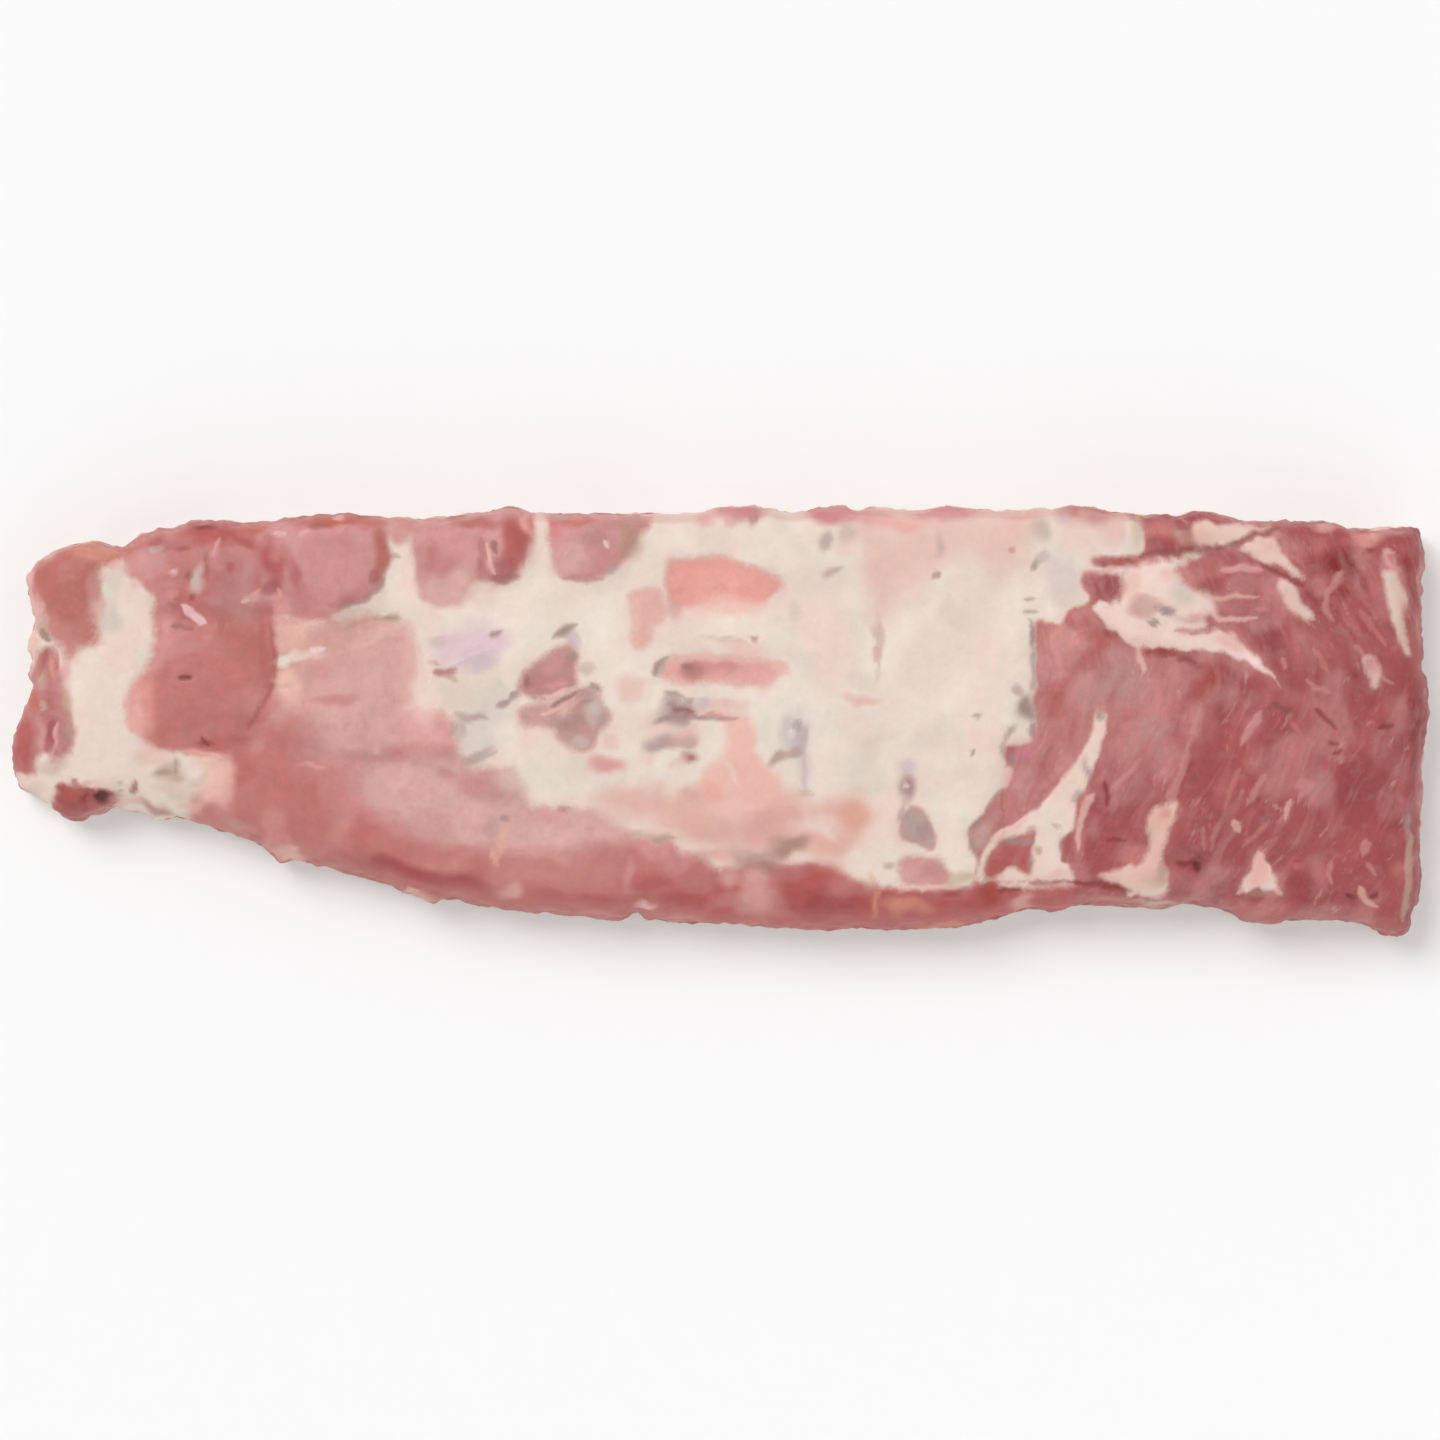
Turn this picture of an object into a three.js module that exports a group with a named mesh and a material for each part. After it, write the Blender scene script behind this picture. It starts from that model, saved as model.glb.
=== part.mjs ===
// A whole boneless pork belly with the rind off, frozen flat. The ribbed inner side is up, the fat side down.
// Millimetres. +X runs along the belly, +Y across it to the rib edge and +Z up. The origin is at the bottom
// centre.

import * as THREE from "three";
import { mergeGeometries, mergeVertices } from "three/addons/utils/BufferGeometryUtils.js";

const { clamp, degToRad, lerp, smoothstep } = THREE.MathUtils;

// Thickness, as [place along the belly, thickness] at the middle of its width
const THICKNESS = [
  [-302, 24],
  [-255, 29],
  [-160, 34],
  [0, 36],
  [100, 34],
  [205, 38],
  [302, 36],
];
const EDGE_THINNING = 0.17; // share of the thickness lost from the middle of the width to either long edge
const HALF_WIDTH = 92;

// The side bulges to its widest line, the belt, and tucks in under it
const BELT = 0.42; // height of the belt as a share of the thickness
const TUCK = 7; // how far the flat underside lies in from the belt
const SHOULDER = { left: 20, right: 11, near: 15, far: 6 }; // how far in from the belt each side is rounded

// The facets: their size over the flat of the belly, and the closer rows beside the belt
const CELL = 5.4;
const EDGE_ROWS = [0, 1.5, 4, 8, 13];
const SKIRT_ROWS = 4;

// The cut outline seen from above, each edge from left to right or from near to far
const FAR_EDGE = [
  [-296, 61], [-291, 67.5], [-281, 73.5], [-266, 77], [-255.5, 74], [-245, 80], [-225, 85.5],
  [-210, 85.5], [-199, 84.5], [-164, 88.5], [-128, 86.5], [-87, 91], [-77, 89], [-12, 88.5],
  [-1, 92], [14, 92], [30, 89], [50, 92], [81, 89.5], [96, 91.5], [126, 89.5], [147, 92],
  [182, 88.5], [205, 89.5], [223, 85.5], [259, 85.5], [265, 82.5], [297, 82.5],
];
const NEAR_EDGE = [
  [-299.5, -26], [-296, -30], [-286, -34], [-281, -40.5], [-271, -43], [-260, -38.5], [-250, -37],
  [-240, -41.5], [-230, -41.5], [-210, -47.5], [-194, -54], [-189, -59], [-179, -59.5], [-138, -71],
  [-133, -75.5], [-113, -77], [-87, -81], [-52, -84.5], [-41, -85.5], [-36.5, -81.5], [-29, -85],
  [4, -86.5], [35, -89], [91, -88.5], [111, -85.5], [131, -80], [142, -82], [152, -78.5],
  [188, -79.5], [198, -77.5], [213, -80], [219, -85], [233, -86.5], [249, -84.5], [274, -87],
  [280, -91], [289.5, -91.5],
];
const LEFT_END = [
  [-299.5, -26], [-301, -14], [-300.5, -5], [-293.5, 12], [-294.5, 20], [-292.5, 25], [-295, 32], [-292, 41],
  [-293.5, 50], [-296, 61],
];
const RIGHT_END = [
  [289.5, -91.5], [294, -85], [298, -64], [297, -46], [298.5, -8], [300.5, 2.5], [298.5, 30], [297.5, 43],
  [299.5, 67], [297, 82.5],
];

// Swellings of the inner side: an ellipse at [x, y] with its two radii, turned by some degrees
const SWELLINGS = {
  firstRibLobe: { at: [-222, 64], radii: [34, 21], turn: 4, rise: 2.8 },
  secondRibLobe: { at: [-164, 67], radii: [26, 23], turn: -12, rise: 2.4 },
  thirdRibLobe: { at: [-104, 73], radii: [27, 18], turn: -8, rise: 2.4 },
  fourthRibLobe: { at: [-51, 76], radii: [23, 16], turn: 0, rise: 1.8 },
  roundMuscle: { at: [-219, 13], radii: [32, 29], turn: 0, rise: 3 },
  endFat: { at: [-261, 5], radii: [17, 44], turn: 6, rise: 1.8 },
  endLean: { at: [-274, 56], radii: [17, 19], turn: -20, rise: 1.6 },
  pinkLobe: { at: [-121, -4], radii: [14, 11], turn: -20, rise: 1.4 },
  nearPad: { at: [-150, -45], radii: [72, 25], turn: -14, rise: 1.8 },
  midPad: { at: [-52, -62], radii: [42, 20], turn: -3, rise: 1.5 },
  nearRoll: { at: [62, -76], radii: [50, 12], turn: 0, rise: 1.6 },
  firstRibWindow: { at: [1, 57], radii: [27, 14], turn: -4, rise: -1.3 },
  secondRibWindow: { at: [1, 21], radii: [31, 9], turn: 0, rise: -1.2 },
  membranePatch: { at: [191, 47], radii: [27, 18], turn: -6, rise: 1.3 },
  fanMuscle: { at: [222, -20], radii: [60, 58], turn: 20, rise: 1.8 },
  farCorner: { at: [262, 60], radii: [32, 26], turn: 0, rise: 1.4 },
};

// Valleys cut into the inner side (negative rise) and cords of fat that stand on it, each along a path
const FOLDS = {
  firstRibValley: { path: [[-190, 86], [-190, 62], [-178, 46]], width: 5, rise: -2.4 },
  secondRibValley: { path: [[-136, 88], [-137, 66], [-146, 46]], width: 6, rise: -1.8 },
  thirdRibValley: { path: [[-75, 88], [-77, 64], [-92, 54]], width: 5, rise: -1.8 },
  lobeToMuscle: { path: [[-248, 52], [-231, 41], [-205, 42], [-190, 46]], width: 4.5, rise: -1.8 },
  muscleCrease: { path: [[-189, 44], [-186, 24], [-190, 9], [-198, -5]], width: 5, rise: -2.6 },
  padCrease: { path: [[-180, -9], [-160, -18], [-140, -17], [-118, -24]], width: 5, rise: -1.4 },
  oliveSlit: { path: [[-163, 38], [-136, 44]], width: 4.5, rise: -1.1 },
  lilacSlit: { path: [[33, 2], [36, -32]], width: 4.5, rise: -1.5 },
  seamBesideBand: { path: [[66, 84], [67, 20], [66, -16]], width: 5, rise: -0.7 },
  pocket: { path: [[78, -28], [86, -48]], width: 6, rise: -1.3 },
  shoulderCrease: { path: [[176, 69], [202, 72], [236, 80]], width: 4.5, rise: -1.6 },
  flankCrease: { path: [[258, 78], [266, 56], [284, 34]], width: 6, rise: -1.1 },
  tendon: { path: [[158, 47], [174, 37], [194, 31], [218, 27], [237, 15]], width: 5, rise: 1.7 },
  longStrand: { path: [[164, 2], [157, -18], [143, -36], [130, -46]], width: 6, rise: 1.3 },
  midStrand: { path: [[202, -4], [193, -28], [184, -62]], width: 5, rise: 1.1 },
  upperStrand: { path: [[223, 76], [235, 70], [247, 61]], width: 4.5, rise: 1.4 },
  lowerStrand: { path: [[237, 60], [244, 51], [252, 43]], width: 4.5, rise: 1.3 },
  endSeam: { path: [[285, 70], [286, 48], [291, 28]], width: 4.5, rise: 1.1 },
  nearSeam: { path: [[291, -36], [291, -82]], width: 4.5, rise: 0.9 },
};

// The thick band of fat across the belly ends in a step down to the lean
const FAT_STEP = {
  path: [[131, 92], [131, 14], [121, -18], [107, -46], [110, -70]],
  rise: 2.2,
  ramp: 7,
  reach: 75,
};

// The bundles of the thick muscle at the right end, which lean in from both long edges and bend between them
const GRAIN = { from: 135, full: 175, heading: 62, bendAt: 22, bendWidth: 18, pitch: 21, rise: 0.42 };

// Long soft waves all over, in turned directions
const WAVES = { count: 6, longest: 120, shrink: 0.78, turn: 137, rise: 0.34 };

const edgeCurve = (points) => new THREE.SplineCurve(points.map(([x, y]) => new THREE.Vector2(x, y)));
const nearCurve = edgeCurve(NEAR_EDGE);
const farCurve = edgeCurve(FAR_EDGE);
const leftCurve = edgeCurve(LEFT_END);
const rightCurve = edgeCurve(RIGHT_END);
const outlineLength = farCurve.getLength();
const outlineWidth = rightCurve.getLength(); // at the wider end

// The point at a share u of the length and v of the width, blended from the four edges
function pointInside(u, v) {
  const point = new THREE.Vector2();
  const blend = (corner, weight) => point.addScaledVector(corner, weight);
  blend(nearCurve.getPointAt(u), 1 - v);
  blend(farCurve.getPointAt(u), v);
  blend(leftCurve.getPointAt(v), 1 - u);
  blend(rightCurve.getPointAt(v), u);
  blend(nearCurve.getPointAt(0), -(1 - u) * (1 - v));
  blend(nearCurve.getPointAt(1), -u * (1 - v));
  blend(farCurve.getPointAt(0), -(1 - u) * v);
  blend(farCurve.getPointAt(1), -u * v);
  return point;
}

// The thickness that the long profile gives at x, eased between its stations
function profileAt(x) {
  const next = clamp(
    THICKNESS.findIndex(([station]) => station >= x),
    1,
    THICKNESS.length - 1,
  );
  const [startX, start] = THICKNESS[next - 1];
  const [endX, end] = THICKNESS[next];
  return lerp(start, end, smoothstep(x, startX, endX));
}

function thicknessAt({ x, y }) {
  return profileAt(x) * (1 - EDGE_THINNING * (y / HALF_WIDTH) ** 2);
}

// How far a point lies from a path, with the sign of the side: positive on the left of its direction
function offsetFromPath({ x, y }, path) {
  let nearest = Infinity;
  let side = 1;
  for (let i = 1; i < path.length; i++) {
    const [ax, ay] = path[i - 1];
    const [dx, dy] = [path[i][0] - ax, path[i][1] - ay];
    const share = clamp(((x - ax) * dx + (y - ay) * dy) / (dx * dx + dy * dy), 0, 1);
    const distance = Math.hypot(x - ax - share * dx, y - ay - share * dy);
    if (distance < nearest) {
      nearest = distance;
      side = dx * (y - ay) - dy * (x - ax) >= 0 ? 1 : -1;
    }
  }
  return side * nearest;
}

function swellingAt({ x, y }, { at, radii, turn, rise }) {
  const local = new THREE.Vector2(x - at[0], y - at[1]).rotateAround(new THREE.Vector2(), -degToRad(turn));
  const reach = Math.hypot(local.x / radii[0], local.y / radii[1]);
  return rise * (1 - smoothstep(reach, 0.55, 1.2));
}

function foldAt(point, { path, width, rise }) {
  return rise * Math.exp(-((offsetFromPath(point, path) / width) ** 2));
}

function fatStepAt(point) {
  const past = offsetFromPath(point, FAT_STEP.path); // positive over the lean, negative over the fat
  const risen = 1 - smoothstep(past, -FAT_STEP.ramp / 2, FAT_STEP.ramp / 2);
  return FAT_STEP.rise * risen * smoothstep(past, -FAT_STEP.reach, 0);
}

function grainAt({ x, y }) {
  const heading = degToRad(GRAIN.heading);
  const fromBend = Math.hypot(y - GRAIN.bendAt, GRAIN.bendWidth);
  const across = x * Math.sin(heading) + fromBend * Math.cos(heading);
  const wander = 1.4 * Math.sin(x / 27 + y / 60) + 1.1 * Math.sin(y / 19);
  const turnsAcross = (2 * Math.PI * across) / GRAIN.pitch;
  return GRAIN.rise * Math.sin(turnsAcross + wander) * smoothstep(x, GRAIN.from, GRAIN.full);
}

function wavesAt({ x, y }) {
  let sum = 0;
  for (let i = 0; i < WAVES.count; i++) {
    const heading = degToRad(WAVES.turn * i);
    const length = WAVES.longest * WAVES.shrink ** i;
    sum += Math.sin((2 * Math.PI * (x * Math.cos(heading) + y * Math.sin(heading))) / length + i);
  }
  return WAVES.rise * sum;
}

function reliefAt(point) {
  const swellings = Object.values(SWELLINGS).map((swelling) => swellingAt(point, swelling));
  const folds = Object.values(FOLDS).map((fold) => foldAt(point, fold));
  const parts = [...swellings, ...folds, fatStepAt(point), grainAt(point), wavesAt(point)];
  return parts.reduce((sum, part) => sum + part, 0);
}

// How far the rounded shoulder has risen, from 0 at the belt to 1 over the flat of the belly
function shoulderAt(point, u, v) {
  const risen = (edgePoint, width) => {
    const share = Math.min(point.distanceTo(edgePoint) / width, 1);
    return Math.sqrt(1 - (1 - share) ** 2);
  };
  const along = risen(pointInside(0, v), SHOULDER.left) * risen(pointInside(1, v), SHOULDER.right);
  return along * risen(pointInside(u, 0), SHOULDER.near) * risen(pointInside(u, 1), SHOULDER.far);
}

// Shares of a length at which the rows of facets lie: close together by both ends, even between
function rowStations(length) {
  const inner = EDGE_ROWS.at(-1);
  const count = Math.round((length - 2 * inner) / CELL);
  const middle = Array.from({ length: count - 1 }, (_, i) => lerp(inner, length - inner, (i + 1) / count));
  const closing = EDGE_ROWS.map((row) => length - row).reverse();
  return [...EDGE_ROWS, ...middle, ...closing].map((place) => place / length);
}

const lengthStations = rowStations(outlineLength);
const widthStations = rowStations(outlineWidth);

// The upper surface: a plane whose grid is laid over the outline and raised to the relief
function innerSide() {
  const columns = lengthStations.length - 1;
  const rows = widthStations.length - 1;
  const plane = new THREE.PlaneGeometry(1, 1, columns, rows);
  for (let i = 0; i < plane.attributes.position.count; i++) {
    const u = lengthStations[i % (columns + 1)];
    const v = widthStations[rows - Math.floor(i / (columns + 1))];
    const point = pointInside(u, v);
    const thickness = thicknessAt(point);
    const belt = BELT * thickness;
    const height = belt + (thickness - belt + reliefAt(point)) * shoulderAt(point, u, v);
    plane.attributes.position.setXYZ(i, point.x, point.y, height);
  }
  return plane;
}

// The stations round the belt, as [u, v], counter-clockwise from the near left corner
function stationsRound() {
  const alongNear = lengthStations.slice(0, -1).map((u) => [u, 0]);
  const upRight = widthStations.slice(0, -1).map((v) => [1, v]);
  const backFar = lengthStations.slice(1).reverse().map((u) => [u, 1]);
  const downLeft = widthStations.slice(1).reverse().map((v) => [0, v]);
  return [...alongNear, ...upRight, ...backFar, ...downLeft];
}

// A point of the side, at a share of the quarter turn from the belt down to the underside
function skirtPoint([u, v], share) {
  const angle = (share * Math.PI) / 2;
  const inset = TUCK * (1 - Math.cos(angle));
  const inward = (station, length) => lerp(inset / length, 1 - inset / length, station);
  const point = pointInside(inward(u, outlineLength), inward(v, outlineWidth));
  const belt = BELT * thicknessAt(pointInside(u, v));
  const height = share === 1 ? 0 : belt * (1 - Math.sin(angle));
  return new THREE.Vector3(point.x, point.y, height);
}

function side() {
  const round = stationsRound();
  const skirt = new THREE.PlaneGeometry(1, 1, round.length, SKIRT_ROWS);
  for (let i = 0; i < skirt.attributes.position.count; i++) {
    const station = round[(i % (round.length + 1)) % round.length];
    const row = Math.floor(i / (round.length + 1));
    skirt.attributes.position.setXYZ(i, ...skirtPoint(station, row / SKIRT_ROWS).toArray());
  }
  return skirt;
}

// The flat underside, drawn mirrored and turned over so that it faces down
function underside() {
  const rim = stationsRound().map((station) => skirtPoint(station, 1));
  const shape = new THREE.Shape(rim.map(({ x, y }) => new THREE.Vector2(x, -y)).reverse());
  return new THREE.ShapeGeometry(shape).rotateX(Math.PI);
}

// One closed body, with the middle of its length and width over the origin
function porkBelly() {
  const surface = mergeGeometries([innerSide(), side(), underside()]);
  surface.deleteAttribute("normal");
  surface.deleteAttribute("uv");
  const body = mergeVertices(surface, 1e-3);
  body.computeBoundingBox();
  const middle = body.boundingBox.getCenter(new THREE.Vector3());
  body.translate(-middle.x, -middle.y, 0);
  body.computeVertexNormals();
  const rawPork = new THREE.MeshStandardMaterial({ color: "#d39a92", roughness: 0.55, metalness: 0 });
  const mesh = new THREE.Mesh(body, rawPork);
  mesh.name = "pork_belly";
  return mesh;
}

const part = new THREE.Group();
part.add(porkBelly());

export default part;
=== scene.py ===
import math

import bmesh
import bpy
import numpy as np
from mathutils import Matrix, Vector, noise


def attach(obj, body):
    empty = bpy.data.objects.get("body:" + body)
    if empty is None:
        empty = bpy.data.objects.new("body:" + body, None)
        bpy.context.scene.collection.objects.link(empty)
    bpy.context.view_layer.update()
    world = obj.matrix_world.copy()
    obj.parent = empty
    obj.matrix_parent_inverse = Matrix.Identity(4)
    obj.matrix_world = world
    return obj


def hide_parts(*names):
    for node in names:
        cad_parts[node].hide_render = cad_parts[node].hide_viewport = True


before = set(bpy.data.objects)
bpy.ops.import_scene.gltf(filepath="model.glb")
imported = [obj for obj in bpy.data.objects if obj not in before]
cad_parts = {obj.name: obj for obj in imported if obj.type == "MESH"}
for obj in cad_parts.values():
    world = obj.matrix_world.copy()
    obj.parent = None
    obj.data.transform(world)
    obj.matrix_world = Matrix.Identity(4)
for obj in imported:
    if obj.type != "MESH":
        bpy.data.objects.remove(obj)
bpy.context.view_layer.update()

# The meat's tones as they look in even light, gloss and all
tones = {
    "cream": "EADCCF", "warmCream": "E7D3C2", "whiteFat": "F1E5DA", "pinkFat": "EDD3C9", "rosyFat": "E5B9AF",
    "greenGrey": "E2DCCA", "greyFat": "D3C6BC", "tan": "BA9C8A", "tanDark": "A48775", "lilac": "E3C7CB",
    "lilacGrey": "CBBABD", "peachFat": "E5BBAC", "glint": "F8D6D6", "peach": "D6A59C", "salmon": "E9A79E",
    "lightSalmon": "EDBDB2", "rose": "DB9F9C", "mauve": "CF9693", "mauveDark": "BC807E", "blush": "DDA9A4",
    "dusty": "C47F7A", "brownLean": "BB776F", "brick": "B36663", "red": "B66462", "brightRed": "D08480",
    "deep": "A45A5A", "wine": "9A5052", "maroon": "88413E", "rust": "BF6E61", "clay": "C98C87",
    # hole is near black: painted shade for the depth of holes
    "haze": "E0B0A3", "orange": "DB9A86", "slit": "98706B", "rosePink": "CD888E", "hole": "5C2A29",
    "grey": "A69088", "ash": "BCA69F", "greyMauve": "AC8F8C", "umber": "8E615B", "brownMauve": "AE877D",
    "duskyPink": "C0908C", "paleMauve": "DAAEA8", "softRose": "E6ACA6", "greyRose": "C6A19B",
    "russet": "A84E44", "tanRose": "C2958A", "oliveCream": "CFBAA4", "olive": "C2A695", "muscle": "A85F5F",
}
glossVeil = 0.034  # light that the gloss adds to every tone
darkest = 0.01  # no tone gets less light than this


def linearColor(name):
    shares = [int(tones[name][i:i + 2], 16) / 255 for i in (0, 2, 4)]
    linear = [c / 12.92 if c <= 0.04045 else ((c + 0.055) / 1.055) ** 2.4 for c in shares]
    return np.array([max(c - glossVeil, darkest) for c in linear])


# The camera looks straight down, as in the photo, from far enough to keep the perspective flat
studio = {
    "lens": 150,  # mm
    "sensor": 36,
    "seesTo": 60,  # metres
    "frameWidth": 0.611,  # what the picture spans at the height of the belly's outline
    "outlineHeight": 0.015,
    "keyFrom": (-0.6, 0.65, 1.0),
    "keySpread": 36,  # degrees
    "keyStrength": 1.57,
    "fillFrom": (0.8, -0.6, 1.0),
    "fillSpread": 70,
    "fillStrength": 0.25,
    "airStrength": 0.545,
    "paperColor": (0.95, 0.95, 0.95, 1),
    "paperRoughness": 0.9,
    # the floor runs flat from the middle and turns up into a wall all round: radius and height in metres
    "floorProfile": [(0, 0), (4.6, 0), (5.6, 0.14), (6.4, 0.55), (7.0, 1.3), (7.3, 2.4), (7.4, 3.6)],
}
cameraHeight = studio["outlineHeight"] + studio["frameWidth"] * studio["lens"] / studio["sensor"]


def setUpStudio():
    camera = bpy.data.objects.new("camera", bpy.data.cameras.new("camera"))
    camera.data.lens = studio["lens"]
    camera.data.sensor_width = studio["sensor"]
    camera.data.clip_end = studio["seesTo"]
    camera.location = (0, 0, cameraHeight)
    bpy.context.collection.objects.link(camera)
    bpy.context.scene.camera = camera

    for name in ("key", "fill"):
        lamp = bpy.data.objects.new(name, bpy.data.lights.new(name, "SUN"))
        lamp.data.angle = math.radians(studio[name + "Spread"])
        lamp.data.energy = studio[name + "Strength"]
        lamp.rotation_euler = (-Vector(studio[name + "From"])).to_track_quat("-Z", "Y").to_euler()
        bpy.context.collection.objects.link(lamp)

    air = bpy.data.worlds.new("studioAir")
    air.use_nodes = True
    background = air.node_tree.nodes["Background"]
    background.inputs["Color"].default_value = (1, 1, 1, 1)
    background.inputs["Strength"].default_value = studio["airStrength"]
    bpy.context.scene.world = air
    bpy.context.scene.view_settings.view_transform = "Standard"

    mesh = bpy.data.meshes.new("floor")
    bowl = bmesh.new()
    rib = [bowl.verts.new((radius, 0, height)) for radius, height in studio["floorProfile"]]
    edges = [bowl.edges.new(pair) for pair in zip(rib, rib[1:])]
    bmesh.ops.spin(
        bowl, geom=rib + edges, cent=(0, 0, 0), axis=(0, 0, 1), angle=math.tau, steps=72, use_merge=True)
    bmesh.ops.remove_doubles(bowl, verts=bowl.verts, dist=1e-5)
    bmesh.ops.recalc_face_normals(bowl, faces=bowl.faces)
    for face in bowl.faces:
        face.smooth = True
    bowl.to_mesh(mesh)
    bowl.free()
    floor = bpy.data.objects.new("floor", mesh)
    bpy.context.collection.objects.link(floor)
    paper = bpy.data.materials.new("palePaper")
    paper.use_nodes = True
    shader = paper.node_tree.nodes["Principled BSDF"]
    shader.inputs["Base Color"].default_value = studio["paperColor"]
    shader.inputs["Roughness"].default_value = studio["paperRoughness"]
    mesh.materials.append(paper)


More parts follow.
